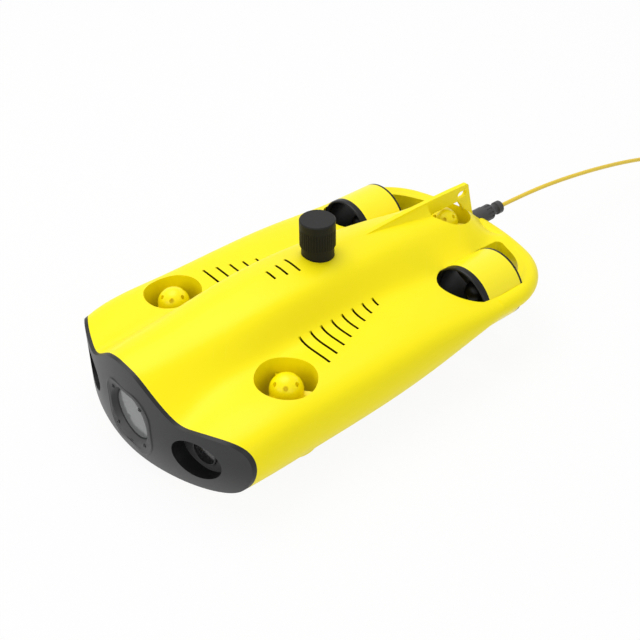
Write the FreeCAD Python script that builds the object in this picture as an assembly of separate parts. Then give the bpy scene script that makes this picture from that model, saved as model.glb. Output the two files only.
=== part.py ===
import FreeCAD, Part
import math
import os

# Small underwater inspection vehicle on a tether: a flooded two-shell fairing with a camera
# nose, two lamps, three vertical and two horizontal thrusters, a sealed electronics tube,
# a screwed port cap on the back and a tether at the tail.
# Units are millimetres. +Z is up, the nose points to -Y, port is +X.
# The origin is under the middle of the hull, on the surface that it stands on.

# ---------------------------------------------------------------- overall sizes
LENGTH = 385.0             # nose face to the aft edge of the tail loop
WIDTH = 226.0              # across the wings
HEIGHT = 138.0             # surface to the top of the port cap
NOSE_Y = -LENGTH / 2
TAIL_Y = LENGTH / 2
HALF_WIDTH = WIDTH / 2

# ---------------------------------------------------------------- clearances
FIT_GAP = 0.3              # between curved faces of different pieces
SEAT_GAP = 0.2             # between a fixed piece and the wall that holds it
SHAFT_GAP = 0.05           # radial running fit of a shaft in its hub
BLADE_GAP = 1.2            # blade tip to duct wall

# ---------------------------------------------------------------- hull
WALL = 3.0                 # moulded wall of both shells
KEEL_Z = 2.0               # underside of the belly; the feet reach below it
CREST_Z = 107.0            # top of the hump amidships
WING_Z = 73.5              # top of the wings amidships
WAIST_Z = 46.0             # widest level of the wings amidships
WING_UNDER_Z = 18.0        # underside of the wings amidships
SPLIT_Z = 20.0             # parting plane of the two shells
NOSE_ARC_R = 200.0         # plan radius of the nose face
BEZEL_RIM = 3.0            # thickness of the black nose bezel
CROWN = 6.5                # drop of the hump from its middle to its shoulder
TOP_ROUND = 0.76           # fullness of the wing edge: 0.71 is an ellipse, 1 a square
TOP_EDGE = 26.0            # width of the rounded edge above the waist
LOW_ROUND = 0.72
LOW_EDGE = 32.0            # width of the rounded edge below the waist
BULKHEAD_Y = 66.0          # aft end of the flooded space inside the shells
CHANNEL_HALF = 27.5        # half width of the channel that holds the electronics tube
FLOOR_Z = 6.5              # floor of that channel
BAY_HALF = 97.0            # half width of the wing bays
BAY_BACK_Y = 22.0

# ---------------------------------------------------------------- tail loop
LOOP_R = 9.0               # radius of the round tail loop
LOOP_Z = 55.0              # height of its centre line
LOOP_TAIL_R = 218.0        # outer plan radius behind
LOOP_CORNER_R = 62.0       # outer plan radius at the two corners
LOOP_HALF_WIDTH = 110.0    # outer face of the loop beside the ducts
LOOP_START_Y = 104.0       # where the loop grows out of the wing
DECK_HALF_WIDTH = 43.0     # centre deck between the two hand windows

# ---------------------------------------------------------------- thrusters
DUCT_R = 24.0              # bore of the vertical ducts
FRONT_DUCT_X = 73.0
FRONT_DUCT_Y = -97.0
FRONT_DOME_Z = 62.0        # centre of the domed hub of the front props
AFT_DUCT_Y = 143.0
AFT_DOME_Z = 74.0
DOME_R = 13.2
DOME_SKIRT = 9.0           # cylindrical part of the hub below the dome
VENT_HOLES = 6             # holes round the dome
VENT_R = 1.9
BLADES = 3
BLADE_CHORD = 13.0
BLADE_THICK = 1.8
MOTOR_R = 11.0
MOTOR_LENGTH = 19.0
MOUNT_HEIGHT = 4.0
FRONT_GUARD_Z = 13.0
AFT_GUARD_Z = 33.0
GUARD_RIM = 1.8
GUARD_RING_R = 11.0
ROOT_PITCH = 38.0
TIP_PITCH = 22.0
BLADE_FIRST = 28.0         # degrees of the first blade at rest
VENT_DEPTH = 3.0
VENT_TILT = 48.0           # vent holes, degrees from the axis
VENT_FIRST = -41.0
SHAFT_R = 2.0
GUARD_THICK = 2.5
SPOKE_WIDTH = 2.6

REAR_DUCT_X = 71.6
REAR_DUCT_Z = 51.0
REAR_DUCT_R = 30.5         # outside of the horizontal ducts
REAR_BORE_R = 27.0
LINER_R = 28.8             # outside of the black liner behind the inlet lip
REAR_DUCT_FRONT_Y = 97.0
REAR_DUCT_BACK_Y = 134.5
SHROUD_LENGTH = 6.0
REAR_HUB_R = 10.5
REAR_SKIRT = 8.0
REAR_MOTOR_Y = 121.0
SCOOP_LENGTH = 21.0        # hull cut away in front of each inlet
REAR_GUARD_THICK = 2.0

# ---------------------------------------------------------------- fin
FIN_FRONT_Y = 36.0
FIN_TIP_Y = 171.0
FIN_AFT_Y = 181.0          # foot of the aft edge
FIN_Z = 103.8
FIN_HALF = 2.0             # half thickness along the ridge
FIN_FLARE = 9.0            # half thickness where it spreads into the hump
FIN_ARCH_Z = 90.0          # underside where the fin bridges the aft duct
EYE_Y = 163.2
EYE_Z = 95.2
EYE_LENGTH = 11.0
EYE_WIDTH = 7.0

# ---------------------------------------------------------------- louvres
LOUVRES = 8
LOUVRE_PITCH = 10.85
LOUVRE_FIRST_Y = -60.8
LOUVRE_INNER_X = 45.0
LOUVRE_FIRST_LENGTH = 36.0
LOUVRE_STEP = 4.0          # each louvre is shorter than the one before
LOUVRE_WIDTH = 2.0
CREST_LOUVRES = 3
CREST_LOUVRE_Y = -51.5
CREST_LOUVRE_LENGTH = 12.0
CREST_LOUVRE_STEP = 4.0

# ---------------------------------------------------------------- nose
LENS_Z = 42.0
LENS_R = 19.5
WINDOW_DEPTH = 6.5         # nose face to the front of the window retainer
WINDOW_HALF = 24.5         # half side of the rounded window recess
WINDOW_CORNER = 15.0
WINDOW_SCREW_R = 1.6
WINDOW_SCREW_SINK = 0.6
RETAINER_SCREW_INSET = 6.6 # from the side of the recess to a screw, both ways
CUP_WALL = 2.4             # wall of the cups behind the recesses
RETAINER_THICK = 4.0
LENS_THICK = 5.0
CAMERA_R = 12.0
CAMERA_BODY = 4.0
LAMP_X = 69.5
LAMP_Z = 39.5
LAMP_HALF_WIDTH = 21.5     # mouth of the lamp recess
LAMP_HALF_HEIGHT = 16.5
LAMP_DEPTH = 11.0
LAMP_LENS_R = 11.5
LAMP_LENS_THICK = 3.0
LAMP_BOARD_THICK = 2.0
LAMP_TURN = 12.0           # degrees that the lamps look outward
EMITTER_R = 2.6
EMITTER_HEIGHT = 1.0
EMITTER_SPREAD = 4.5

# ---------------------------------------------------------------- inside
TUBE_R = 25.0
TUBE_WALL = 2.5
TUBE_FRONT_Y = -163.0
TUBE_BACK_Y = 52.0
TUBE_Z = 52.0
CAP_PLUG = 9.0             # how far an end cap enters the tube
CAP_FLANGE = 4.0
BATTERY_LENGTH = 92.0
BATTERY_R = 18.0
BATTERY_HOLDER = 5.0       # end plates that centre the cells in the tube
BOARD_THICK = 1.6
BOARD_PARTS = (6.0, 9.0, 4.0, 7.0)
BOARD_LENGTH = 80.0
CRADLE_THICK = 8.0
CRADLE_HALF_WIDTH = 27.0
CRADLE_YS = (-120.0, 20.0)
BALLAST_SIZE = (14.0, 90.0, 9.0)
BALLAST_X = 18.0
BALLAST_Y = -50.0
FOAM_SIZE = (34.0, 76.0, 22.0)
FOAM_X = 65.0
FOAM_Y = -22.0

# ---------------------------------------------------------------- port on the hump
PORT_Y = -3.0
CAP_R = 14.65
CAP_HEIGHT = 23.2
CAP_TOP_WALL = 3.0
CAP_CHAMFER = 0.8
FLUTES = 42
FLUTE_R = 0.55
FLUTE_TOP = 6.5            # smooth band above the flutes
COLLAR_R = 13.4
STEM_R = 11.2
NECK_R = 9.0
THREAD_GAP = 0.25
RING_MINOR_R = 0.9
RING_GROOVE = 2.3
COLLAR_HEIGHT = 14.0
STEM_SHORT = 3.0           # stem top to the inside of the cap

# ---------------------------------------------------------------- fasteners and feet
SCREW_R = 1.5
SCREW_HEAD_R = 2.8
SCREW_HEAD = 1.8
SCREW_SINK = 1.5
HULL_SCREW_PLACES = ((84.0, -140.0), (66.0, -67.5), (36.0, 56.0))
BOSS_R = 5.0
BOSS_RISE = 16.0           # height of the shell boss above the parting plane
BOSS_WEB = 30.0
FOOT_R = 7.0
FOOT_PLACES = ((26.0, -95.0), (26.0, 45.0))
INSERT_R = 6.0
INSERT_HOLE_R = 3.175
INSERT_DEPTH = 8.0
INSERT_BASE_Z = 3.0
INSERT_SEAT_Z = 14.0
INSERT_Y = -150.0

# ---------------------------------------------------------------- tether
CORD_R = 2.0
SOCKET_Z = 59.5
SOCKET_R = 8.0
SOCKET_LENGTH = 26.0
SOCKET_FACE_Y = 195.5
NUT_R = 7.5
NUT_LENGTH = 9.0
PLUG_BODY_R = 5.0
PLUG_BARREL_R = 6.0
PLUG_TIP_Y = 219.5
CONNECTOR_R = 6.5
CONNECTOR_LENGTH = 45.0
COIL_CENTRE = (12.0, 604.0)
COIL_MID_R = 34.0          # radius of the middle of the turns
COIL_WIDTH = 32.0          # across the turns
COIL_HEIGHT = 24.0
CORD_ROUTE = [(0.0, 219.5, 59.5), (0.0, 262.0, 58.6), (0.4, 311.0, 53.6), (0.0, 362.0, 45.0),
              (-0.8, 414.0, 33.6), (-2.6, 462.0, 19.6), (-8.0, 502.0, 8.0), (-17.0, 536.0, 2.6),
              (-24.0, 566.0, 2.6), (-24.0, 604.0, 3.2)]

V = FreeCAD.Vector
X_AXIS = V(1, 0, 0)
Y_AXIS = V(0, 1, 0)
Z_AXIS = V(0, 0, 1)
SIDES = (("port", 1), ("starboard", -1))


# ================================================================ helpers
def cylinder(radius, length, base, axis=Z_AXIS):
    return Part.makeCylinder(radius, length, V(*base), axis)


def box(low, high):
    size = [high[i] - low[i] for i in range(3)]
    return Part.makeBox(size[0], size[1], size[2], V(*low))


def mirrored(shape):
    return shape.mirror(V(0, 0, 0), X_AXIS)


def on_side(shape, side):
    """The port piece itself, or its mirror image for starboard."""
    return shape if side > 0 else mirrored(shape)


def revolve(points, base, axis):
    """Turn a closed outline of (radius, height) corners about an axis through base."""
    across = X_AXIS if axis.cross(X_AXIS).Length > 0.5 else Z_AXIS
    corners = [V(*base) + across * r + axis * h for r, h in points]
    wire = Part.makePolygon(corners + corners[:1])
    return Part.Face(wire).revolve(V(*base), axis, 360)


def ring_of(shape, count, base, axis, first=0.0):
    """Copies of a shape set evenly round an axis."""
    copies = []
    for i in range(count):
        copy = shape.copy()
        copy.rotate(V(*base), axis, first + 360.0 * i / count)
        copies.append(copy)
    return copies


def fused(shapes):
    whole = shapes[0]
    for shape in shapes[1:]:
        whole = whole.fuse(shape)
    return whole.removeSplitter()


# ================================================================ hull form
class Station:
    """One cross-section of the fairing at a place along the hull."""

    def __init__(self, y, crest, shoulder, foot, wing, half, waist, under, keel):
        self.y = y
        self.crest = crest         # height of the hump in the middle
        self.shoulder = shoulder   # half width of the hump at its shoulder
        self.foot = foot           # half width where the hump meets the wing
        self.wing = wing           # height of the wing top
        self.half = half           # half width at the waist
        self.waist = waist         # height of the waist
        self.under = under         # height of the wing underside
        self.keel = keel           # height of the belly

    def corners(self, inset=0.0):
        """Points of the closed section; inset draws them that much further in all round."""
        crest = self.crest - inset
        shoulder = self.shoulder - 0.6 * inset
        foot = self.foot - inset
        wing = self.wing - inset
        half = self.half - inset
        under = self.under + inset
        keel = self.keel + inset
        edge = half - TOP_EDGE
        low_edge = half - LOW_EDGE
        top = [
            (0.0, crest),
            (0.55 * shoulder, crest - 0.27 * CROWN),
            (shoulder, crest - CROWN),
            (0.5 * (shoulder + foot), 0.5 * (crest - CROWN + wing)),
            (foot, wing + 2.0),
            (0.5 * (foot + edge), wing + 0.2),
            (edge, wing),
            (edge + TOP_ROUND * TOP_EDGE, self.waist + TOP_ROUND * (wing - self.waist)),
            (half, self.waist),
        ]
        bottom = [
            (low_edge + LOW_ROUND * LOW_EDGE, self.waist - LOW_ROUND * (self.waist - under)),
            (low_edge, under),
            (0.5 * low_edge, keel + 0.2 * (under - keel)),
            (0.0, keel),
        ]
        right = top + bottom
        left = [(-x, z) for x, z in reversed(right[1:-1])]
        return [V(x, self.y, z) for x, z in right + left]


def hull_stations():
    half = HALF_WIDTH
    return [
        Station(NOSE_Y - 16, CREST_Z - 17, 19, 52, WING_Z - 8, half - 4.5, WAIST_Z - 4,
                WING_UNDER_Z - 6, KEEL_Z + 1),
        Station(NOSE_Y + 40, CREST_Z - 9, 25, 50, WING_Z - 3, half - 2, WAIST_Z - 3,
                WING_UNDER_Z - 5, KEEL_Z),
        Station(-95, CREST_Z - 3, 28, 48, WING_Z - 0.5, half - 0.5, WAIST_Z - 1,
                WING_UNDER_Z - 3, KEEL_Z),
        Station(-30, CREST_Z, 29, 47, WING_Z, half, WAIST_Z, WING_UNDER_Z, KEEL_Z),
        Station(30, CREST_Z - 3, 27, 48, WING_Z - 0.5, half - 1, WAIST_Z + 3,
                WING_UNDER_Z + 6, KEEL_Z),
        Station(80, CREST_Z - 8, 24, 49, WING_Z - 5, half - 2.5, LOOP_Z - 3, 35, KEEL_Z + 6),
        Station(120, CREST_Z - 13, 22, 47, LOOP_Z + 9.5, half - 3.5, LOOP_Z, 44, 18),
        Station(147, CREST_Z - 17, 22, 45, LOOP_Z + 8, half - 5, LOOP_Z, LOOP_Z - 8, 30),
        Station(172, CREST_Z - 32, 20, 44, LOOP_Z + 8, half - 5, LOOP_Z, LOOP_Z - 8, 42),
        Station(TAIL_Y + 10, CREST_Z - 41, 20, 44, LOOP_Z + 8, half - 5, LOOP_Z, LOOP_Z - 8, LOOP_Z - 8),
    ]


def section_wire(points, knots):
    curve = Part.BSplineCurve()
    curve.interpolate(Points=points, PeriodicFlag=True, Parameters=knots)
    return Part.Wire([curve.toShape()])


def chord_knots(points):
    """Running length round a closed section, which spaces the knots of them all alike."""
    knots = [0.0]
    for a, b in zip(points, points[1:] + points[:1]):
        knots.append(knots[-1] + math.sqrt((b - a).Length))
    return knots


def nose_arc_y(x, inset=0.0):
    """Y of the nose face at a place across it."""
    radius = NOSE_ARC_R - inset
    centre = NOSE_Y + NOSE_ARC_R
    return centre - math.sqrt(radius * radius - x * x)


def loop_path(inset):
    """Plan path of the tail loop, drawn in from its outer edge, from port to starboard."""
    tail_r = LOOP_TAIL_R - inset
    corner_r = LOOP_CORNER_R - inset
    side_x = LOOP_HALF_WIDTH - inset
    tail_centre = TAIL_Y - LOOP_TAIL_R
    corner_x = LOOP_HALF_WIDTH - LOOP_CORNER_R
    reach = LOOP_TAIL_R - LOOP_CORNER_R
    corner_y = tail_centre + math.sqrt(reach * reach - corner_x * corner_x)
    joint = V(corner_x, corner_y - tail_centre, 0).normalize() * tail_r + V(0, tail_centre, 0)
    bend = (V(1, 0, 0) + V(corner_x, corner_y - tail_centre, 0).normalize()).normalize()
    middle = V(corner_x, corner_y, 0) + bend * corner_r
    start = V(side_x, LOOP_START_Y, 0)
    end = V(side_x, corner_y, 0)
    flip = lambda p: V(-p.x, p.y, p.z)
    return [
        Part.LineSegment(start, end).toShape(),
        Part.Arc(end, middle, joint).toShape(),
        Part.Arc(joint, V(0, tail_centre + tail_r, 0), flip(joint)).toShape(),
        Part.Arc(flip(joint), flip(middle), flip(end)).toShape(),
        Part.LineSegment(flip(end), flip(start)).toShape(),
    ]


def plan_outline(nose_inset):
    """Upright block whose sides are the plan of the hull."""
    x = HALF_WIDTH + 4
    corner = V(x, nose_arc_y(x, nose_inset), 0)
    nose = V(0, NOSE_Y + nose_inset, 0)
    loop = loop_path(LOOP_R)
    loop_start = loop[0].Vertexes[0].Point
    outer = V(x, LOOP_START_Y, 0)
    flip = lambda p: V(-p.x, p.y, p.z)
    edges = [Part.Arc(flip(corner), nose, corner).toShape(),
             Part.LineSegment(corner, outer).toShape(),
             Part.LineSegment(outer, loop_start).toShape()]
    edges += loop
    edges += [Part.LineSegment(flip(loop_start), flip(outer)).toShape(),
              Part.LineSegment(flip(outer), flip(corner)).toShape()]
    wire = Part.Wire(Part.__sortEdges__(edges))
    return Part.Face(wire).extrude(V(0, 0, HEIGHT))


def hull_solid(inset, nose_inset):
    stations = hull_stations()
    knots = chord_knots(stations[3].corners())
    wires = [section_wire(station.corners(inset), knots) for station in stations]
    loft = Part.makeLoft(wires, True, False)
    return loft.common(plan_outline(nose_inset))


def tail_loop():
    path = Part.Wire(loop_path(LOOP_R))
    path.translate(V(0, 0, LOOP_Z))
    start = path.Edges[0].Vertexes[0].Point
    if start.x < 0:
        start = path.Edges[-1].Vertexes[-1].Point
    circle = Part.Wire([Part.makeCircle(LOOP_R, start, Y_AXIS)])
    return path.makePipeShell([circle], True, True)


def hand_windows():
    """The two openings between the ducts, the centre deck and the tail loop."""
    inner = [edge for edge in loop_path(2 * LOOP_R)]
    start = inner[0].Vertexes[0].Point
    front = REAR_DUCT_BACK_Y + REAR_GUARD_THICK
    closing = [Part.LineSegment(inner[-1].Vertexes[-1].Point, start).toShape()]
    plan = Part.Face(Part.Wire(Part.__sortEdges__(inner + closing))).extrude(V(0, 0, HEIGHT))
    windows = []
    for name, side in SIDES:
        x = sorted((side * DECK_HALF_WIDTH, side * HALF_WIDTH))
        slab = box((x[0], front, 0), (x[1], TAIL_Y, HEIGHT))
        window = plan.common(slab)
        upright = [e for e in window.Edges if abs(e.Length - HEIGHT) < 1e-6]
        windows.append(window.makeFillet(5.0, upright))
    return windows


def fin_plate():
    """Thin fin from the hump to the tail with its slotted eye, bridging the aft duct."""
    tip = V(0, FIN_TIP_Y, FIN_Z - 3.2)
    shoulder = V(0, FIN_TIP_Y - 3.5, FIN_Z)
    aft = V(0, FIN_AFT_Y, LOOP_Z + 8)
    arch_back = AFT_DUCT_Y + DUCT_R + SEAT_GAP
    crown = V(0, 0.5 * (FIN_FRONT_Y + shoulder.y), FIN_Z + 0.8)
    edges = [
        Part.Arc(V(0, FIN_FRONT_Y, FIN_Z - 2.2), crown, shoulder).toShape(),
        Part.Arc(shoulder, V(0, FIN_TIP_Y - 0.9, FIN_Z - 0.9), tip).toShape(),
        Part.Arc(tip, V(0, FIN_TIP_Y + 3.8, FIN_Z - 18), aft).toShape(),
        Part.LineSegment(aft, V(0, arch_back, LOOP_Z + 8)).toShape(),
        Part.Arc(V(0, arch_back, LOOP_Z + 8), V(0, arch_back - 2, FIN_ARCH_Z - 9),
                 V(0, arch_back - 9, FIN_ARCH_Z)).toShape(),
        Part.LineSegment(V(0, arch_back - 9, FIN_ARCH_Z), V(0, FIN_FRONT_Y, FIN_ARCH_Z)).toShape(),
        Part.LineSegment(V(0, FIN_FRONT_Y, FIN_ARCH_Z), V(0, FIN_FRONT_Y, FIN_Z - 2.2)).toShape(),
    ]
    face = Part.Face(Part.Wire(edges))
    face.translate(V(-FIN_HALF, 0, 0))
    plate = face.extrude(V(2 * FIN_HALF, 0, 0))
    half = 0.5 * (EYE_LENGTH - EYE_WIDTH)
    eye = box((-FIN_FLARE, EYE_Y - half, EYE_Z - EYE_WIDTH / 2),
              (FIN_FLARE, EYE_Y + half, EYE_Z + EYE_WIDTH / 2))
    for end in (-half, half):
        eye = eye.fuse(cylinder(EYE_WIDTH / 2, 2 * FIN_FLARE, (-FIN_FLARE, EYE_Y + end, EYE_Z), X_AXIS))
    return plate.cut(eye.removeSplitter())


def fin_flare():
    """Tent-shaped rise that carries the fin out of the hump."""
    wires = []
    back = AFT_DUCT_Y
    for y, drop in ((FIN_FRONT_Y - 4, 2.0), (back, 0.0)):
        top = FIN_Z - drop
        points = [V(-FIN_HALF, y, top - 0.6), V(FIN_HALF, y, top - 0.6),
                  V(FIN_HALF + 3.0, y, top - 7), V(FIN_FLARE + 6, y, top - 20),
                  V(-FIN_FLARE - 6, y, top - 20), V(-FIN_HALF - 3.0, y, top - 7)]
        wires.append(Part.makePolygon(points + points[:1]))
    return Part.makeLoft(wires, True, True)


def front_duct_places():
    return [(side * FRONT_DUCT_X, FRONT_DUCT_Y) for name, side in SIDES]


def louvre_cutters():
    cutters = []
    for i in range(LOUVRES):
        length = LOUVRE_FIRST_LENGTH - LOUVRE_STEP * i
        y = LOUVRE_FIRST_Y + LOUVRE_PITCH * i
        slot = box((LOUVRE_INNER_X, y - LOUVRE_WIDTH / 2, WAIST_Z + 6),
                   (LOUVRE_INNER_X + length, y + LOUVRE_WIDTH / 2, CREST_Z))
        cutters += [slot, mirrored(slot)]
    for i in range(CREST_LOUVRES):
        half = 0.5 * (CREST_LOUVRE_LENGTH + CREST_LOUVRE_STEP * i)
        y = CREST_LOUVRE_Y + LOUVRE_PITCH * i
        cutters.append(box((-half, y - LOUVRE_WIDTH / 2, TUBE_Z + TUBE_R + 4),
                           (half, y + LOUVRE_WIDTH / 2, HEIGHT)))
    return cutters


def scoop_cutters():
    """Rounded hollows that lead the water into the two horizontal ducts, and the duct seats."""
    front = REAR_DUCT_FRONT_Y - SHROUD_LENGTH - FIT_GAP
    back = REAR_DUCT_BACK_Y + REAR_GUARD_THICK + FIT_GAP
    radius = REAR_DUCT_R + SEAT_GAP
    nose = V(0, front - SCOOP_LENGTH, 0)
    edges = [Part.Arc(nose, V(0.75 * radius, front - 0.6 * SCOOP_LENGTH, 0), V(radius, front, 0)).toShape(),
             Part.LineSegment(V(radius, front, 0), V(radius, back, 0)).toShape(),
             Part.LineSegment(V(radius, back, 0), V(0, back, 0)).toShape(),
             Part.LineSegment(V(0, back, 0), nose).toShape()]
    hollow = Part.Face(Part.Wire(edges)).revolve(V(0, 0, 0), Y_AXIS, 360)
    return [moved(hollow, side * REAR_DUCT_X, 0, REAR_DUCT_Z) for name, side in SIDES]


def flooded_space():
    """The hollow inside both shells: a channel for the tube, two wing bays and the nose bay."""
    roof = [(NOSE_Y - 1, CREST_Z - 30), (NOSE_Y + 50, CREST_Z - 19), (-60, CREST_Z - 12),
            (10, CREST_Z - 12), (BULKHEAD_Y, CREST_Z - 20)]
    corners = [V(-CHANNEL_HALF, NOSE_Y - 1, FLOOR_Z), V(-CHANNEL_HALF, BULKHEAD_Y, FLOOR_Z)]
    corners += [V(-CHANNEL_HALF, y, z) for y, z in reversed(roof)]
    channel = Part.Face(Part.makePolygon(corners + corners[:1])).extrude(V(2 * CHANNEL_HALF, 0, 0))
    bay_front = FRONT_DUCT_Y + DUCT_R + WALL
    bays = box((-BAY_HALF, bay_front, SPLIT_Z), (BAY_HALF, BAY_BACK_Y, WING_Z - WALL - 0.5))
    nose_back = FRONT_DUCT_Y - DUCT_R - WALL
    nose = box((-BAY_HALF, NOSE_Y - 1, SPLIT_Z), (BAY_HALF, nose_back, WING_Z - 13))
    keep_out = cylinder(DUCT_R + WALL, HEIGHT, (FRONT_DUCT_X, FRONT_DUCT_Y, 0))
    space = channel.fuse(bays).fuse(nose).cut(keep_out).cut(mirrored(keep_out))
    return space


def fairing():
    """Both shells in one piece, before they are parted."""
    body = hull_solid(0.0, BEZEL_RIM)
    loop = tail_loop()
    for scoop in scoop_cutters():
        body = body.cut(scoop)
        loop = loop.cut(scoop)
    body = body.cut(flooded_space())
    for window in hand_windows():
        body = body.cut(window)
    body = body.fuse(loop).fuse(fin_flare())
    for x, y in front_duct_places() + [(0.0, AFT_DUCT_Y)]:
        body = body.cut(cylinder(DUCT_R, HEIGHT, (x, y, 0)))
    for louvre in louvre_cutters():
        body = body.cut(louvre)
    body = body.fuse(fin_plate())
    body = body.cut(cylinder(COLLAR_R + SEAT_GAP, HEIGHT, (0, PORT_Y, TUBE_Z)))
    return body.cut(cylinder(SOCKET_R + SEAT_GAP, 40, (0, SOCKET_FACE_Y - SOCKET_LENGTH, SOCKET_Z), Y_AXIS))


def boss_places():
    return [(side * x, y) for x, y in HULL_SCREW_PLACES for name, side in SIDES]


def top_shell(body, hull):
    top = body.common(box((-WIDTH, -LENGTH, SPLIT_Z), (WIDTH, LENGTH, HEIGHT)))
    for x, y in boss_places():
        outward = x + math.copysign(BOSS_WEB, x)
        boss = cylinder(BOSS_R, BOSS_RISE, (x, y, SPLIT_Z))
        web = box((min(x, outward), y - WALL / 2, SPLIT_Z),
                  (max(x, outward), y + WALL / 2, SPLIT_Z + BOSS_RISE))
        top = top.fuse(boss.fuse(web).common(hull))
    for x, y in boss_places():
        top = top.cut(cylinder(SCREW_R + SHAFT_GAP, BOSS_RISE - WALL, (x, y, SPLIT_Z)))
    return top


def belly_z(hull, x, y):
    """Height of the belly skin at a place, found on the finished hull."""
    probe = Part.makeLine(V(x, y, -1), V(x, y, SPLIT_Z + 10))
    return min(v.Z for v in hull.common(probe).Vertexes)


def bottom_shell(body, hull):
    bottom = body.common(box((-WIDTH, -LENGTH, 0), (WIDTH, LENGTH, SPLIT_Z)))
    for x, y in boss_places():
        boss = cylinder(BOSS_R, SPLIT_Z, (x, y, 0)).common(hull)
        bottom = bottom.fuse(boss.common(box((-WIDTH, -LENGTH, 0), (WIDTH, LENGTH, SPLIT_Z))))
    for x, y in boss_places():
        sunk = belly_z(hull, x, y) + SCREW_HEAD + SCREW_SINK
        bottom = bottom.cut(cylinder(SCREW_R + SEAT_GAP, SPLIT_Z, (x, y, 0)))
        bottom = bottom.cut(cylinder(SCREW_HEAD_R + SEAT_GAP, sunk, (x, y, 0)))
    return bottom.cut(cylinder(INSERT_R, INSERT_SEAT_Z, (0, INSERT_Y, 0)))


def hull_screws(hull):
    screws = []
    for x, y in boss_places():
        head = belly_z(hull, x, y) + SCREW_SINK
        shank = cylinder(SCREW_R, SPLIT_Z + BOSS_RISE - 2 * WALL - head, (x, y, head))
        screws.append(shank.fuse(cylinder(SCREW_HEAD_R, SCREW_HEAD, (x, y, head))))
    return Part.makeCompound(screws)


def rubber_feet(hull):
    """Four round feet, shaped to the belly above them."""
    feet = []
    for x, y in FOOT_PLACES:
        for name, side in SIDES:
            foot = cylinder(FOOT_R, SPLIT_Z / 2, (side * x, y, 0)).cut(hull)
            feet.append(min(foot.Solids, key=lambda solid: solid.BoundBox.ZMin))
    return Part.makeCompound(feet)


def accessory_insert():
    """Blind threaded insert under the nose for a clip-on tool."""
    body = cylinder(INSERT_R - SEAT_GAP, INSERT_SEAT_Z - INSERT_BASE_Z, (0, INSERT_Y, INSERT_BASE_Z))
    return body.cut(cylinder(INSERT_HOLE_R, INSERT_DEPTH, (0, INSERT_Y, INSERT_BASE_Z)))


# ================================================================ nose
def rounded_square(half, corner, front_y, back_y, centre_z):
    block = box((-half, front_y, centre_z - half), (half, back_y, centre_z + half))
    along = [e for e in block.Edges if abs(e.Length - (back_y - front_y)) < 1e-6]
    return block.makeFillet(corner, along)


def oval(half_width, half_height, front_y, back_y):
    """Oval bar along Y on the lamp's own axis, before it is turned outward."""
    ellipse = Part.Ellipse(V(0, 0, 0), half_width, half_height)
    ellipse.rotate(FreeCAD.Placement(V(0, 0, 0), FreeCAD.Rotation(X_AXIS, 90)))
    face = Part.Face(Part.Wire([ellipse.toShape()]))
    face.translate(V(0, front_y, 0))
    return face.extrude(V(0, back_y - front_y, 0))


def to_lamp(shape, side):
    """Move a piece from the lamp's own axis to its place, facing slightly outward."""
    placed = shape.copy()
    placed.rotate(V(0, 0, 0), Z_AXIS, LAMP_TURN)
    placed.translate(V(LAMP_X, nose_arc_y(LAMP_X), LAMP_Z))
    return on_side(placed, side)


def window_front_y():
    return NOSE_Y + WINDOW_DEPTH


def window_back_y():
    return window_front_y() + RETAINER_THICK


def front_bezel():
    """Black nose moulding with the window recess and the two lamp recesses."""
    face = hull_solid(0.0, 0.0).cut(plan_outline(BEZEL_RIM))
    face = max(face.Solids, key=lambda solid: solid.Volume)
    cup_half = WINDOW_HALF + CUP_WALL
    cup_back = window_back_y() + CUP_WALL
    inner_nose = NOSE_Y + BEZEL_RIM / 2
    cups = [rounded_square(cup_half, WINDOW_CORNER + CUP_WALL, inner_nose, cup_back, LENS_Z)]
    cuts = [rounded_square(WINDOW_HALF, WINDOW_CORNER, NOSE_Y - 1, window_back_y(), LENS_Z),
            cylinder(LENS_R - 3, 3 * CUP_WALL, (0, cup_back - 2 * CUP_WALL, LENS_Z), Y_AXIS)]
    lamp_back = LAMP_DEPTH + LAMP_LENS_THICK
    for name, side in SIDES:
        cup = oval(LAMP_HALF_WIDTH + CUP_WALL, LAMP_HALF_HEIGHT + CUP_WALL, -LAMP_DEPTH, lamp_back)
        cups.append(to_lamp(cup, side).common(plan_outline(BEZEL_RIM / 2)))
        cuts.append(to_lamp(oval(LAMP_HALF_WIDTH, LAMP_HALF_HEIGHT, -3 * LAMP_DEPTH, LAMP_DEPTH), side))
        seat = cylinder(LAMP_LENS_R + SEAT_GAP, 2 * LAMP_DEPTH, (0, 0, 0), Y_AXIS)
        cuts.append(to_lamp(seat, side))
    bezel = face
    for cup in cups:
        bezel = bezel.fuse(cup)
    for cut in cuts:
        bezel = bezel.cut(cut)
    return bezel


def retainer_screw_places():
    reach = WINDOW_HALF - RETAINER_SCREW_INSET
    return [(i * reach, LENS_Z + j * reach) for i in (-1, 1) for j in (-1, 1)]


def window_retainer():
    """Plate that clamps the camera window into its recess."""
    plate = rounded_square(WINDOW_HALF - SEAT_GAP, WINDOW_CORNER - SEAT_GAP,
                           window_front_y(), window_back_y(), LENS_Z)
    plate = plate.cut(cylinder(LENS_R + SEAT_GAP, 3 * RETAINER_THICK,
                               (0, window_front_y() - RETAINER_THICK, LENS_Z), Y_AXIS))
    for x, z in retainer_screw_places():
        plate = plate.cut(cylinder(WINDOW_SCREW_R + SEAT_GAP, RETAINER_THICK,
                                   (x, window_front_y(), z), Y_AXIS))
    return plate


def window_screws():
    length = RETAINER_THICK - WINDOW_SCREW_SINK
    front = window_front_y() + WINDOW_SCREW_SINK
    return Part.makeCompound([cylinder(WINDOW_SCREW_R, length, (x, front, z), Y_AXIS)
                              for x, z in retainer_screw_places()])


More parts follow.
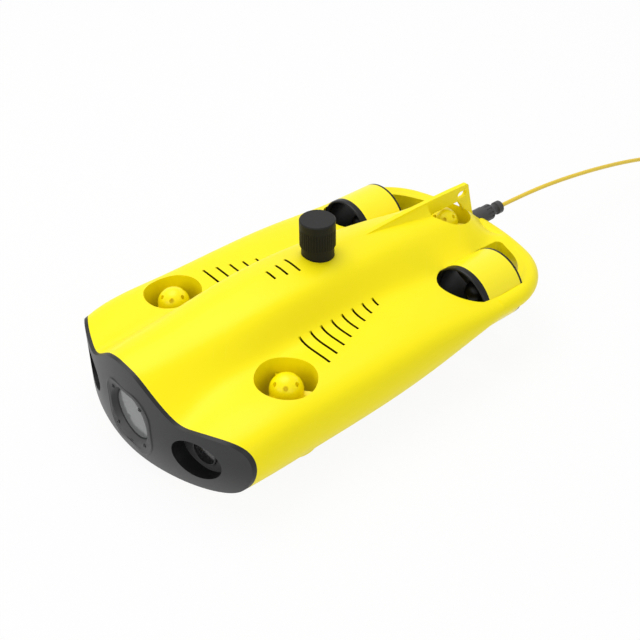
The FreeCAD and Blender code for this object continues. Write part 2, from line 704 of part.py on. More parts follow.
def camera_window():
    disc = cylinder(LENS_R, LENS_THICK, (0, window_back_y() - LENS_THICK, LENS_Z), Y_AXIS)
    front = [e for e in disc.Edges if abs(e.BoundBox.YMax - (window_back_y() - LENS_THICK)) < 1e-3
             and e.BoundBox.YLength < 1e-3]
    return disc.makeChamfer(0.5, front)


def camera_module():
    """Camera on the front cap of the tube, looking out through the window."""
    back = TUBE_FRONT_Y - CAP_FLANGE
    front = window_back_y() + 1.0
    body = box((-CAMERA_R - 2, back - CAMERA_BODY, LENS_Z - CAMERA_R - 2),
               (CAMERA_R + 2, back, LENS_Z + CAMERA_R + 2))
    barrel = cylinder(CAMERA_R, back - CAMERA_BODY - front, (0, front, LENS_Z), Y_AXIS)
    hollow = cylinder(CAMERA_R - 3, 2.0, (0, front, LENS_Z), Y_AXIS)
    return body.fuse(barrel).cut(hollow).removeSplitter()


def lamp_lens(side):
    return to_lamp(cylinder(LAMP_LENS_R, LAMP_LENS_THICK, (0, LAMP_DEPTH - 1, 0), Y_AXIS), side)


def lamp_board(side):
    """Round lamp board with its two emitters behind the lamp lens."""
    back = LAMP_DEPTH + LAMP_LENS_THICK - 1
    board = cylinder(LAMP_LENS_R, LAMP_BOARD_THICK, (0, back + EMITTER_HEIGHT, 0), Y_AXIS)
    for x in (-EMITTER_SPREAD, EMITTER_SPREAD):
        board = board.fuse(cylinder(EMITTER_R, EMITTER_HEIGHT, (x, back, 0), Y_AXIS))
    return to_lamp(board, side)


# ================================================================ sealed electronics
def pressure_tube():
    length = TUBE_BACK_Y - TUBE_FRONT_Y
    tube = cylinder(TUBE_R, length, (0, TUBE_FRONT_Y, TUBE_Z), Y_AXIS)
    return tube.cut(cylinder(TUBE_R - TUBE_WALL, length, (0, TUBE_FRONT_Y, TUBE_Z), Y_AXIS))


def tube_cap(end_y, outward):
    """End cap: a flange outside, and a plug with two ring grooves inside the tube."""
    plug_r = TUBE_R - TUBE_WALL - SHAFT_GAP
    groove = plug_r - RING_MINOR_R
    outline = [(0, -CAP_PLUG), (plug_r, -CAP_PLUG)]
    for start in (0.25, 0.6):
        low = -CAP_PLUG * (1 - start)
        high = low + 2 * RING_MINOR_R
        outline += [(plug_r, low), (groove, low), (groove, high), (plug_r, high)]
    outline += [(plug_r, 0), (TUBE_R, 0), (TUBE_R, CAP_FLANGE), (0, CAP_FLANGE)]
    return revolve(outline, (0, end_y, TUBE_Z), V(0, outward, 0))


def battery_pack():
    """Seven round cells in a bundle, lying in the aft half of the tube."""
    front = TUBE_BACK_Y - CAP_PLUG - BATTERY_LENGTH - 2
    cell = (BATTERY_R - 0.2) / 3
    cells = [cylinder(cell, BATTERY_LENGTH, (0, front, TUBE_Z), Y_AXIS)]
    step = 2 * cell - 0.4
    for i in range(6):
        angle = math.radians(60 * i)
        place = (step * math.cos(angle), front, TUBE_Z + step * math.sin(angle))
        cells.append(cylinder(cell, BATTERY_LENGTH, place, Y_AXIS))
    for y in (front, front + BATTERY_LENGTH - BATTERY_HOLDER):
        cells.append(cylinder(TUBE_R - TUBE_WALL - SEAT_GAP, BATTERY_HOLDER, (0, y, TUBE_Z), Y_AXIS))
    return fused(cells)


def main_board():
    """Circuit board that slides into the front half of the tube on two rails."""
    front = TUBE_FRONT_Y + CAP_PLUG + 2
    half = math.sqrt((TUBE_R - TUBE_WALL) ** 2 - (BOARD_THICK / 2 + 0.1) ** 2) - SEAT_GAP
    board = box((-half, front, TUBE_Z - BOARD_THICK / 2),
                (half, front + BOARD_LENGTH, TUBE_Z + BOARD_THICK / 2))
    for i, height in enumerate(BOARD_PARTS):
        y = front + 8 + 18 * i
        board = board.fuse(box((-9, y, TUBE_Z), (9, y + 12, TUBE_Z + BOARD_THICK / 2 + height)))
    return board.removeSplitter()


def tube_cradle(y):
    block = box((-CRADLE_HALF_WIDTH, y - CRADLE_THICK / 2, FLOOR_Z),
                (CRADLE_HALF_WIDTH, y + CRADLE_THICK / 2, TUBE_Z - 8))
    block = block.cut(cylinder(TUBE_R + SEAT_GAP, CRADLE_THICK, (0, y - CRADLE_THICK / 2, TUBE_Z), Y_AXIS))
    for x in (-CRADLE_HALF_WIDTH / 2, CRADLE_HALF_WIDTH / 2):
        block = block.cut(box((x - 5, y - CRADLE_THICK, FLOOR_Z + 4),
                              (x + 5, y + CRADLE_THICK, FLOOR_Z + 11)))
    return block


def ballast_bars():
    width, length, height = BALLAST_SIZE
    bars = []
    for name, side in SIDES:
        x = side * BALLAST_X
        bars.append(box((x - width / 2, BALLAST_Y - length / 2, FLOOR_Z),
                        (x + width / 2, BALLAST_Y + length / 2, FLOOR_Z + height)))
    return Part.makeCompound(bars)


def buoyancy_foam(side):
    width, length, height = FOAM_SIZE
    x = side * FOAM_X
    block = box((x - width / 2, FOAM_Y - length / 2, SPLIT_Z),
                (x + width / 2, FOAM_Y + length / 2, SPLIT_Z + height))
    return block.makeChamfer(2.0, [e for e in block.Edges if e.BoundBox.YLength > length / 2])


# ================================================================ thrusters
def lens_section(radius, pitch, chord, thick, direction):
    """Thin two-arc blade section across a radius, turned by its pitch."""
    half = chord / 2
    tilt = math.radians(pitch)
    along = V(0, math.cos(tilt), math.sin(tilt))
    across = V(0, -math.sin(tilt), math.cos(tilt))
    lead = V(radius, 0, 0) + along * half
    trail = V(radius, 0, 0) - along * half
    upper = V(radius, 0, 0) + across * (thick / 2)
    lower = V(radius, 0, 0) - across * (thick / 2)
    return Part.Wire([Part.Arc(trail, upper, lead).toShape(), Part.Arc(lead, lower, trail).toShape()])


def propeller(hub_r, skirt, tip_r, blades, first, hand, vents):
    """Domed hub with pitched blades; the axis is +Z and the dome's centre is the origin."""
    hub = Part.makeSphere(hub_r, V(0, 0, 0), Z_AXIS, 0, 90, 360).fuse(cylinder(hub_r, skirt, (0, 0, -skirt)))
    root = lens_section(hub_r - 2.5, hand * ROOT_PITCH, BLADE_CHORD * 0.8, BLADE_THICK, hand)
    middle = lens_section(0.5 * (hub_r + tip_r), hand * 0.5 * (ROOT_PITCH + TIP_PITCH), BLADE_CHORD,
                          BLADE_THICK * 0.9, hand)
    tip = lens_section(tip_r + 1, hand * TIP_PITCH, BLADE_CHORD * 1.1, BLADE_THICK * 0.7, hand)
    blade = Part.makeLoft([root, middle, tip], True, False)
    blade.translate(V(0, 0, -skirt / 2))
    blade = blade.common(cylinder(tip_r, 4 * skirt, (0, 0, -2 * skirt)))
    whole = hub.removeSplitter()
    for copy in ring_of(blade, blades, (0, 0, 0), Z_AXIS, first):
        whole = whole.fuse(copy)
    if vents:
        hole = cylinder(VENT_R, hub_r, (0, 0, hub_r - VENT_DEPTH))
        hole.rotate(V(0, 0, 0), Y_AXIS, VENT_TILT)
        for copy in ring_of(hole, VENT_HOLES, (0, 0, 0), Z_AXIS, VENT_FIRST):
            whole = whole.cut(copy)
    socket = cylinder(SHAFT_R + SHAFT_GAP, skirt + SHAFT_GAP, (0, 0, -skirt))
    return whole.cut(socket)


def motor(length, shaft):
    """Outrunner motor below its prop; the axis is +Z and the top of the can is the origin."""
    outline = [(0, -length), (MOTOR_R - 2, -length), (MOTOR_R - 2, -length + 3), (MOTOR_R, -length + 4),
               (MOTOR_R, -1.5), (MOTOR_R - 1.5, 0), (SHAFT_R, 0), (SHAFT_R, shaft), (0, shaft)]
    return revolve(outline, (0, 0, 0), Z_AXIS)


def spider(duct_r, height):
    """Motor mount: a centre disc and three struts to the duct wall; its top is the origin."""
    disc = cylinder(MOTOR_R, height, (0, 0, -height))
    strut = box((0, -SPOKE_WIDTH / 2, -height), (duct_r - SEAT_GAP, SPOKE_WIDTH / 2, 0))
    strut = strut.common(cylinder(duct_r - SEAT_GAP, height, (0, 0, -height)))
    return fused([disc] + ring_of(strut, 3, (0, 0, 0), Z_AXIS, 90))


def guard(outer_r, thick, spokes):
    """Round grille: a rim, a middle ring and spokes; its lower face is the origin."""
    rings = []
    for radius in (outer_r, GUARD_RING_R):
        inside = cylinder(radius - GUARD_RIM, thick, (0, 0, 0))
        rings.append(cylinder(radius, thick, (0, 0, 0)).cut(inside))
    half = GUARD_RIM / 2
    spoke = box((GUARD_RING_R - half, -half, 0), (outer_r - half, half, thick))
    return fused(rings + ring_of(spoke, spokes, (0, 0, 0), Z_AXIS))


def along_y(shape, x, y, z):
    """Turn a piece built along +Z so that its axis points forward, and put it in place."""
    placed = shape.copy()
    placed.rotate(V(0, 0, 0), X_AXIS, 90)
    placed.translate(V(x, y, z))
    return placed


def moved(shape, x, y, z):
    placed = shape.copy()
    placed.translate(V(x, y, z))
    return placed


def vertical_thruster(name, x, y, dome_z, guard_z, hand):
    """Prop, motor, mount and lower guard of one vertical duct."""
    motor_top = dome_z - DOME_SKIRT - 1.0
    mount_top = motor_top - MOTOR_LENGTH
    prop = propeller(DOME_R, DOME_SKIRT, DUCT_R - BLADE_GAP, BLADES, BLADE_FIRST, hand, True)
    return {
        "prop_" + name: moved(prop, x, y, dome_z),
        "motor_" + name: moved(motor(MOTOR_LENGTH, DOME_SKIRT), x, y, motor_top),
        "mount_" + name: moved(spider(DUCT_R, MOUNT_HEIGHT), x, y, mount_top),
        "guard_" + name: moved(guard(DUCT_R - SEAT_GAP, GUARD_THICK, 6), x, y, guard_z),
    }


def rear_thruster(name, side):
    """Duct, lipped inlet liner, prop, motor and outlet guard of one horizontal thruster."""
    x = side * REAR_DUCT_X
    z = REAR_DUCT_Z
    length = REAR_DUCT_BACK_Y - REAR_DUCT_FRONT_Y
    duct = cylinder(REAR_DUCT_R, length, (x, REAR_DUCT_FRONT_Y, z), Y_AXIS)
    duct = duct.cut(cylinder(LINER_R + SEAT_GAP, length, (x, REAR_DUCT_FRONT_Y, z), Y_AXIS))
    lip = SHROUD_LENGTH
    shroud = revolve([(REAR_BORE_R, -length), (LINER_R, -length), (LINER_R, 0), (REAR_DUCT_R, 0),
                      (REAR_DUCT_R, lip - 1.5), (REAR_DUCT_R - 0.5, lip - 0.4), (REAR_DUCT_R - 1.2, lip),
                      (REAR_DUCT_R - 1.9, lip - 0.4), (REAR_BORE_R + 0.4, lip - 3), (REAR_BORE_R, lip - 5)],
                     (x, REAR_DUCT_FRONT_Y, z), V(0, -1, 0))
    motor_length = REAR_DUCT_BACK_Y - REAR_MOTOR_Y
    prop = propeller(REAR_HUB_R, REAR_SKIRT, REAR_BORE_R - BLADE_GAP, BLADES, BLADE_FIRST, side, False)
    outlet = guard(REAR_DUCT_R, REAR_GUARD_THICK, 6).fuse(cylinder(GUARD_RING_R, REAR_GUARD_THICK, (0, 0, 0)))
    return {
        "rear_duct_" + name: duct,
        "inlet_shroud_" + name: shroud,
        "prop_rear_" + name: along_y(prop, x, REAR_MOTOR_Y - 1.0 - REAR_SKIRT, z),
        "motor_rear_" + name: along_y(motor(motor_length, REAR_SKIRT), x, REAR_MOTOR_Y, z),
        "outlet_guard_" + name: along_y(outlet.removeSplitter(), x, REAR_DUCT_BACK_Y + REAR_GUARD_THICK, z),
    }


# ================================================================ port on the hump
def cap_under_z():
    return HEIGHT - CAP_HEIGHT


def port_neck():
    """Threaded neck that rises from the tube through the hump."""
    collar_top = cap_under_z() - FIT_GAP
    collar_base = collar_top - COLLAR_HEIGHT
    outline = [(0, TUBE_Z), (NECK_R, TUBE_Z), (NECK_R, collar_base), (COLLAR_R, collar_base),
               (COLLAR_R, collar_top), (STEM_R, collar_top), (STEM_R, HEIGHT - CAP_TOP_WALL - STEM_SHORT),
               (0, HEIGHT - CAP_TOP_WALL - STEM_SHORT)]
    neck = revolve(outline, (0, PORT_Y, 0), Z_AXIS)
    return neck.cut(cylinder(TUBE_R, 4 * NECK_R, (0, PORT_Y - 2 * NECK_R, TUBE_Z), Y_AXIS))


def port_ring():
    centre = cap_under_z() + 1.2
    return Part.makeTorus(0.5 * (STEM_R + COLLAR_R) + 0.05, RING_MINOR_R, V(0, PORT_Y, centre))


def port_cap():
    """Fluted screw cap with a groove for the sealing ring."""
    low = cap_under_z()
    bore = STEM_R + THREAD_GAP
    groove = COLLAR_R + 0.2
    outline = [(groove, low), (CAP_R, low), (CAP_R, HEIGHT - CAP_CHAMFER), (CAP_R - CAP_CHAMFER, HEIGHT),
               (0, HEIGHT), (0, HEIGHT - CAP_TOP_WALL), (bore, HEIGHT - CAP_TOP_WALL),
               (bore, low + RING_GROOVE), (groove, low + RING_GROOVE)]
    cap = revolve(outline, (0, PORT_Y, 0), Z_AXIS)
    flute = cylinder(FLUTE_R, CAP_HEIGHT - FLUTE_TOP, (CAP_R + 0.1, PORT_Y, low - CAP_CHAMFER))
    for copy in ring_of(flute, FLUTES, (0, PORT_Y, 0), Z_AXIS):
        cap = cap.cut(copy)
    return cap


# ================================================================ tether
def tether_socket():
    """Bulkhead socket in the tail with its thin flange."""
    y = SOCKET_FACE_Y - SOCKET_LENGTH
    return cylinder(SOCKET_R, SOCKET_LENGTH, (0, y, SOCKET_Z), Y_AXIS)


def coupling_ring():
    """Locking ring that turns on the plug; ribbed for the fingers."""
    start = SOCKET_FACE_Y + FIT_GAP
    ring = cylinder(NUT_R, NUT_LENGTH, (0, start, SOCKET_Z), Y_AXIS)
    ring = ring.cut(cylinder(PLUG_BODY_R + SHAFT_GAP, NUT_LENGTH, (0, start, SOCKET_Z), Y_AXIS))
    flute = cylinder(0.8, NUT_LENGTH - 3, (NUT_R + 0.2, start + 1.5, SOCKET_Z), Y_AXIS)
    for copy in ring_of(flute, 12, (0, start, SOCKET_Z), Y_AXIS):
        ring = ring.cut(copy)
    return ring


def tether_plug():
    """Moulded plug with its stepped strain relief."""
    start = SOCKET_FACE_Y
    length = PLUG_TIP_Y - start
    step = NUT_LENGTH + 2 * FIT_GAP
    outline = [(0, 0), (PLUG_BODY_R, 0), (PLUG_BODY_R, step), (PLUG_BARREL_R + 0.6, step),
               (PLUG_BARREL_R - 0.6, step + 3.5),
               (PLUG_BODY_R - 0.4, step + 5), (PLUG_BODY_R - 0.4, step + 7), (PLUG_BARREL_R, step + 8),
               (PLUG_BARREL_R, length - 1.2), (PLUG_BARREL_R - 1.2, length), (0, length)]
    return revolve(outline, (0, start, SOCKET_Z), Y_AXIS)


def cord_path(points):
    """Straight runs joined by tangent arcs, as large as the two runs at each point allow."""
    points = [V(*p) for p in points]
    edges = []
    last = points[0]
    for before, here, after in zip(points, points[1:], points[2:]):
        a = (before - here).normalize()
        b = (after - here).normalize()
        half_turn = 0.5 * (math.pi - a.getAngle(b))
        shorter = min((before - here).Length, (after - here).Length)
        radius = 0.45 * shorter / math.tan(half_turn)
        reach = 0.45 * shorter
        centre = here + (a + b).normalize() * (radius / math.cos(half_turn))
        middle = centre + (here - centre).normalize() * radius
        edges.append(Part.LineSegment(last, here + a * reach).toShape())
        edges.append(Part.Arc(here + a * reach, middle, here + b * reach).toShape())
        last = here + b * reach
        print("cord bend radius %.0f mm" % radius)
    edges.append(Part.LineSegment(last, points[-1]).toShape())
    return Part.Wire(edges)


def tether_lead(coil):
    path = cord_path(CORD_ROUTE)
    start = V(*CORD_ROUTE[0])
    circle = Part.Wire([Part.makeCircle(CORD_R, start, V(*CORD_ROUTE[1]) - start)])
    tube = path.makePipeShell([circle], True, True)
    print("cord length %.0f mm, volume over section %.4f" % (
        path.Length, tube.Volume / (math.pi * CORD_R ** 2 * path.Length)))
    outside = tube.cut(coil)
    return min(outside.Solids, key=lambda solid: solid.BoundBox.YMin)


def tether_coil():
    """Outer shape of the put-away turns, lying on the same surface."""
    x, y = COIL_CENTRE
    inner = COIL_MID_R - COIL_WIDTH / 2
    outer = COIL_MID_R + COIL_WIDTH / 2
    soft = CORD_R
    outline = [(inner + soft, 0), (outer - soft, 0), (outer, soft), (outer, COIL_HEIGHT - soft),
               (outer - soft, COIL_HEIGHT), (inner + soft, COIL_HEIGHT),
               (inner, COIL_HEIGHT - soft), (inner, soft)]
    return revolve(outline, (x, y, 0), Z_AXIS)


def surface_connector():
    """Connector at the far end of the tether, lying on the coil."""
    x, y = COIL_CENTRE
    body = CONNECTOR_LENGTH - 7
    outline = [(0, 0), (PLUG_BODY_R - 1.5, 0), (PLUG_BODY_R, 14), (CONNECTOR_R, 15), (CONNECTOR_R, body),
               (CONNECTOR_R - 1, body + 1), (CONNECTOR_R - 1, CONNECTOR_LENGTH), (0, CONNECTOR_LENGTH)]
    start = (x + COIL_MID_R, y + CONNECTOR_LENGTH / 2, COIL_HEIGHT + CONNECTOR_R)
    return revolve(outline, start, -Y_AXIS)


# ================================================================ whole vehicle
def write(name, shape):
    shape.exportStep("parts/" + name + ".step")
    print("%-24s solids %d volume %.0f valid %s" % (name, len(shape.Solids), shape.Volume, shape.isValid()))


def main():
    os.makedirs("parts", exist_ok=True)
    hull = hull_solid(0.0, BEZEL_RIM)
    body = fairing()
    coil = tether_coil()
    pieces = {
        "top_shell": top_shell(body, hull),
        "bottom_shell": bottom_shell(body, hull),
        "hull_screws": hull_screws(hull),
        "rubber_feet": rubber_feet(hull),
        "accessory_insert": accessory_insert(),
        "front_bezel": front_bezel(),
        "window_retainer": window_retainer(),
        "window_screws": window_screws(),
        "camera_window": camera_window(),
        "camera_module": camera_module(),
        "pressure_tube": pressure_tube(),
        "tube_front_cap": tube_cap(TUBE_FRONT_Y, -1),
        "tube_rear_cap": tube_cap(TUBE_BACK_Y, 1),
        "battery_pack": battery_pack(),
        "main_board": main_board(),
        "ballast_bars": ballast_bars(),
        "port_neck": port_neck(),
        "port_ring": port_ring(),
        "port_cap": port_cap(),
        "tether_socket": tether_socket(),
        "coupling_ring": coupling_ring(),
        "tether_plug": tether_plug(),
        "tether_coil": coil,
        "tether_lead": tether_lead(coil),
        "surface_connector": surface_connector(),
    }
    for name, y in zip(("front_cradle", "rear_cradle"), CRADLE_YS):
        pieces[name] = tube_cradle(y)
    for name, side in SIDES:
        pieces["lamp_lens_" + name] = lamp_lens(side)
        pieces["lamp_board_" + name] = lamp_board(side)
        pieces["buoyancy_foam_" + name] = buoyancy_foam(side)
        pieces.update(rear_thruster(name, side))
        pieces.update(vertical_thruster("front_" + name, side * FRONT_DUCT_X, FRONT_DUCT_Y, FRONT_DOME_Z,
                                        FRONT_GUARD_Z, side))
    pieces.update(vertical_thruster("aft", 0.0, AFT_DUCT_Y, AFT_DOME_Z, AFT_GUARD_Z, 1))
    for name, shape in pieces.items():
        write(name, shape)


main()
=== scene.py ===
# %% [markdown]
# # Underwater inspection vehicle on a tether
#
# A small vehicle that swims under water and sends video up a thin cable. Its yellow
# fairing is two moulded shells, its black nose holds a camera window and two lamps, and five
# small propellers sit in ducts. The solid pieces come from a CAD model as a fixed frame.
# This script dresses them: it gives each one a finish, and it adds what CAD leaves plain,
# such as the turns of the cable, the lens stack, the lamp bowls and the screw heads.
#
# Lengths are metres. +Z is up, the nose points to -Y and port is +X.

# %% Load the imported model
import math

import bmesh
import bpy
from mathutils import Matrix, Vector


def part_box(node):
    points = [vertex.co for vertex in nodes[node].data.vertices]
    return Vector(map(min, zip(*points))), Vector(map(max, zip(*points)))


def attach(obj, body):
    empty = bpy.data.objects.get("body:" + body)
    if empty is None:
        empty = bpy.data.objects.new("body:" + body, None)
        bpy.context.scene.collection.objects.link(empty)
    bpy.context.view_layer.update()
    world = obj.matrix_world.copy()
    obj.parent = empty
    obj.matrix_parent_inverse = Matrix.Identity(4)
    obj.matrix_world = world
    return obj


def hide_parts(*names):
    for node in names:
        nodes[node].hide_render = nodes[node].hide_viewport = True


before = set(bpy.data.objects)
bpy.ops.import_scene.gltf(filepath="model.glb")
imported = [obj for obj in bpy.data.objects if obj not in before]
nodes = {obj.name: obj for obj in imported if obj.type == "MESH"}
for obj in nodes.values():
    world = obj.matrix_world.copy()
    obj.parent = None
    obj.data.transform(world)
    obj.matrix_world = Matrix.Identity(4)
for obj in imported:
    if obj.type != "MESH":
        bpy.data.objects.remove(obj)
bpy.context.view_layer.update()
MM = 0.001
print("pieces in the frame:", len(nodes))

# %% [markdown]
# ## Where the camera stands
#
# A product is usually shown from a little above and to one side, so that its front, top and
# flank can all be seen. A camera can be aimed with a Track To constraint, but writing its three
# axes out keeps the small tilt of a hand-held camera as well. Blender's camera looks along
# its own -Z, with +X to the right and +Y up.

# %% Camera
CAMERA_PLACE = Vector((579.1, -492.9, 613.5)) * MM
CAMERA_AZIMUTH = math.radians(49.68)
CAMERA_ELEVATION = math.radians(37.18)
CAMERA_ROLL = math.radians(-0.64)
CAMERA_LENS = 63.77


def camera_axes(azimuth, elevation, roll):
    """The camera's right, up and backward directions."""
    flat = math.cos(elevation)
    back = Vector((math.sin(azimuth) * flat, -math.cos(azimuth) * flat, math.sin(elevation)))
    right = Vector((math.cos(azimuth), math.sin(azimuth), 0))
    up = back.cross(right)
    turned_right = right * math.cos(roll) + up * math.sin(roll)
    turned_up = up * math.cos(roll) - right * math.sin(roll)
    return turned_right, turned_up, back


def place_camera():
    data = bpy.data.cameras.new("camera")
    data.lens = CAMERA_LENS
    data.sensor_width = 36
    camera = bpy.data.objects.new("camera", data)
    bpy.context.scene.collection.objects.link(camera)
    axes = camera_axes(CAMERA_AZIMUTH, CAMERA_ELEVATION, CAMERA_ROLL)
    camera.matrix_world = Matrix.Translation(CAMERA_PLACE) @ Matrix(axes).transposed().to_4x4()
    bpy.context.scene.camera = camera
    return camera


camera = place_camera()
print("camera at", [round(v, 3) for v in camera.location])

# %% [markdown]
# ## The tether
#
# A round yellow cable, 4 mm thick and rather stiff, leaves the plug at the tail, sags to the
# ground and ends in a small coil. A cable is easiest to make as a curve with a round bevel:
# one smooth NURBS line, where a few control points pull the line towards them without kinks.
# The turns of the coil are worked out by a loop and are more points of the same line, so the
# cable is one piece to its end. Its last turn climbs inside the coil, crosses it and bends
# into the connector that lies on top.

# %% Tether
CORD_RADIUS = 2.0 * MM
CORD_ROUTE = [(0.0, 219.5, 59.5), (0.0, 262.0, 58.6), (0.4, 311.0, 53.6), (0.0, 362.0, 45.0),
              (-0.8, 414.0, 33.6), (-2.6, 462.0, 19.6), (-8.0, 502.0, 8.0), (-17.0, 536.0, 2.6),
              (-25.0, 560.0, 2.2)]
COIL_CENTRE = (12.0, 604.0)
COIL_OUTER = 47.7          # radius of the outermost turns
COIL_LAYERS = 7            # turns side by side
COIL_RISE = 5              # turns from the bottom of a layer to its top
COIL_START = 215.0         # angle where the cable joins the coil
CORD_WIDTH = 2 * CORD_RADIUS / MM
POINTS_PER_TURN = 16
TURN_REACH = 1 / math.cos(math.pi / POINTS_PER_TURN)   # the line passes inside its points
COIL_LOW = 2.1             # height of the lowest turns
COIL_TOP = COIL_LOW + COIL_RISE * CORD_WIDTH
CLIMB_SHARE = 0.35         # share of the last turn that climbs inside the coil
RIDE_HEIGHT = 27.4         # height of a cable that crosses the coil
END_BEND = 17.0            # radius of the bend into the connector
END_BEND_POINTS = 3
END_INSIDE = 2             # what the connector hides of the cable


def turn_angle(step):
    """Angle of a point of the coil, which is wound clockwise."""
    return math.radians(COIL_START) - 2 * math.pi * step / POINTS_PER_TURN


def coil_points():
    """Turns that climb and fall through the coil, layer by layer, from the outside in."""
    steps_up = COIL_RISE * POINTS_PER_TURN
    steps_in = POINTS_PER_TURN // 4
    points = []
    step = 0
    for layer in range(COIL_LAYERS):
        radius = COIL_OUTER - CORD_WIDTH * layer
        for i in range(steps_up + steps_in):
            share = min(i / steps_up, 1.0)
            height = share if layer % 2 == 0 else 1 - share
            inward = max(0, i - steps_up) / steps_in
            angle = turn_angle(step)
            here = (radius - CORD_WIDTH * inward) * TURN_REACH
            points.append((COIL_CENTRE[0] + here * math.cos(angle),
                           COIL_CENTRE[1] + here * math.sin(angle),
                           COIL_LOW + height * (COIL_TOP - COIL_LOW)))
            step += 1
    return points, step


def ease(share):
    """0 to 1 with a soft start and a soft stop."""
    share = min(max(share, 0.0), 1.0)
    return share * share * (3 - 2 * share)


def cord_end(step):
    """The last part turn: it climbs inside the coil, crosses it and bends into the connector."""
    low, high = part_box("surface_connector")
    entry = Vector(((low.x + high.x) / 2, high.y, (low.z + high.z) / 2)) / MM
    inner = (COIL_OUTER - CORD_WIDTH * COIL_LAYERS) * TURN_REACH
    outer = entry.y + END_BEND - COIL_CENTRE[1]
    start = turn_angle(step)
    sweep = (start - math.pi / 2) % (2 * math.pi)
    count = round(POINTS_PER_TURN * sweep / (2 * math.pi))
    points = []
    for i in range(count + 1):
        share = i / count
        climb = ease(share / CLIMB_SHARE)
        spread = ease((share - CLIMB_SHARE) / (1 - CLIMB_SHARE))
        angle = start - sweep * share
        radius = inner + (outer - inner) * spread
        height = COIL_TOP + (RIDE_HEIGHT - COIL_TOP) * climb + (entry.z - RIDE_HEIGHT) * spread
        points.append((COIL_CENTRE[0] + radius * math.cos(angle),
                       COIL_CENTRE[1] + radius * math.sin(angle), height))
    half = math.pi / 4 / END_BEND_POINTS
    reach = END_BEND / math.cos(half)
    bend_x = entry.x - END_BEND
    points.append((bend_x - END_BEND * math.tan(half), entry.y + END_BEND, entry.z))
    for i in reversed(range(END_BEND_POINTS)):
        angle = (2 * i + 1) * half
        points.append((bend_x + reach * math.cos(angle), entry.y + reach * math.sin(angle),
                       entry.z))
    points.append((entry.x, entry.y - END_INSIDE, entry.z))
    return points


def smooth_line(name, points, radius):
    """A round cable along one NURBS line; each point carries the radius of the bevel."""
    curve = bpy.data.curves.new(name, "CURVE")
    curve.dimensions = "3D"
    spline = curve.splines.new("NURBS")
    spline.points.add(len(points) - 1)
    for target, point in zip(spline.points, points):
        target.co = (*(c * MM for c in point), 1)
        target.radius = radius
    spline.order_u = 3
    spline.use_endpoint_u = True
    curve.resolution_u = 4
    curve.bevel_depth = 1 if radius else 0
    curve.bevel_resolution = 4
    cable = bpy.data.objects.new(name, curve)
    bpy.context.scene.collection.objects.link(cable)
    return cable


def line_length(points):
    """Length of the smooth line that the points pull."""
    curve = smooth_line("measure", points, 0)
    mesh = bpy.data.meshes.new_from_object(curve)
    corners = [v.co for v in mesh.vertices]
    length = sum((b - a).length for a, b in zip(corners, corners[1:]))
    bpy.data.objects.remove(curve)
    return length


turns, steps = coil_points()
cord_points = CORD_ROUTE + turns + cord_end(steps)
cord_length = line_length(cord_points)
tether = smooth_line("tether_cable", cord_points, CORD_RADIUS)
print("tether length %.2f m, points %d" % (cord_length, len(cord_points)))

# %% [markdown]
# The turns are held by two hook-and-loop straps, as a cable is for storage. Each one is a
# rounded band that wraps the bundle: a closed loop of points around the bundle's section,
# given a width and a thickness in mesh code.

# %% Straps of the coil
STRAP_WIDTH = 12.0
STRAP_THICK = 0.8
STRAP_ANGLES = (60.0, 200.0)
STRAP_INSIDE = 2.2         # from the middle of the innermost turns to the strap
STRAP_OUTSIDE = 1.2        # from the middle of the outermost turns
STRAP_LOW, STRAP_HIGH = 0.9, 24.3
STRAP_CORNER = 2.5
CORNER_STEPS = 4


def strap_outline(grow):
    """Section of the bundle with rounded corners, as (radius, height) points."""
    inner = COIL_OUTER - CORD_WIDTH * (COIL_LAYERS - 1) - STRAP_INSIDE - grow
    outer = COIL_OUTER + STRAP_OUTSIDE + grow
    low, high = STRAP_LOW - grow, STRAP_HIGH + grow
    points = []
    corners = [(outer, high, 0), (inner, high, 90), (inner, low, 180), (outer, low, 270)]
    for r, z, first in corners:
        centre_r = r - STRAP_CORNER if r == outer else r + STRAP_CORNER
        centre_z = z - STRAP_CORNER if z == high else z + STRAP_CORNER
        for i in range(CORNER_STEPS + 1):
            angle = math.radians(first + 90 / CORNER_STEPS * i)
            points.append((centre_r + STRAP_CORNER * math.cos(angle),
                           centre_z + STRAP_CORNER * math.sin(angle)))
    return points


def mesh_object(name, bm, smooth=True):
    """Turn mesh code into a piece of the scene."""
    mesh = bpy.data.meshes.new(name)
    bmesh.ops.recalc_face_normals(bm, faces=bm.faces)
    bm.to_mesh(mesh)
    bm.free()
    for face in mesh.polygons:
        face.use_smooth = smooth
    piece = bpy.data.objects.new(name, mesh)
    bpy.context.scene.collection.objects.link(piece)
    return piece


def bridge(bm, rings, closed=True):
    """Faces between neighbouring loops; an open loop has none from its end to its start."""
    for ring, other in zip(rings, rings[1:]):
        for i in range(len(ring) if closed else len(ring) - 1):
            j = (i + 1) % len(ring)
            bm.faces.new((ring[i], ring[j], other[j], other[i]))


def coil_strap(name, angle):
    """A band round the bundle: an inner and an outer loop at each of its two edges."""
    bm = bmesh.new()
    turn = Matrix.Rotation(math.radians(angle), 4, "Z")
    centre = Vector((*COIL_CENTRE, 0))
    rings = []
    for grow, side in ((0, -1), (0, 1), (STRAP_THICK, 1), (STRAP_THICK, -1)):
        ring = []
        for r, z in strap_outline(grow):
            place = centre + turn @ Vector((r, side * STRAP_WIDTH / 2, z))
            ring.append(bm.verts.new(place * MM))
        rings.append(ring)
    bridge(bm, rings + rings[:1])
    return mesh_object(name, bm)


straps = [coil_strap("coil_strap_%d" % (i + 1), angle) for i, angle in enumerate(STRAP_ANGLES)]
for strap in straps:
    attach(strap, "hull")
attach(tether, "hull")
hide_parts("tether_lead", "tether_coil")
print("straps:", len(straps))

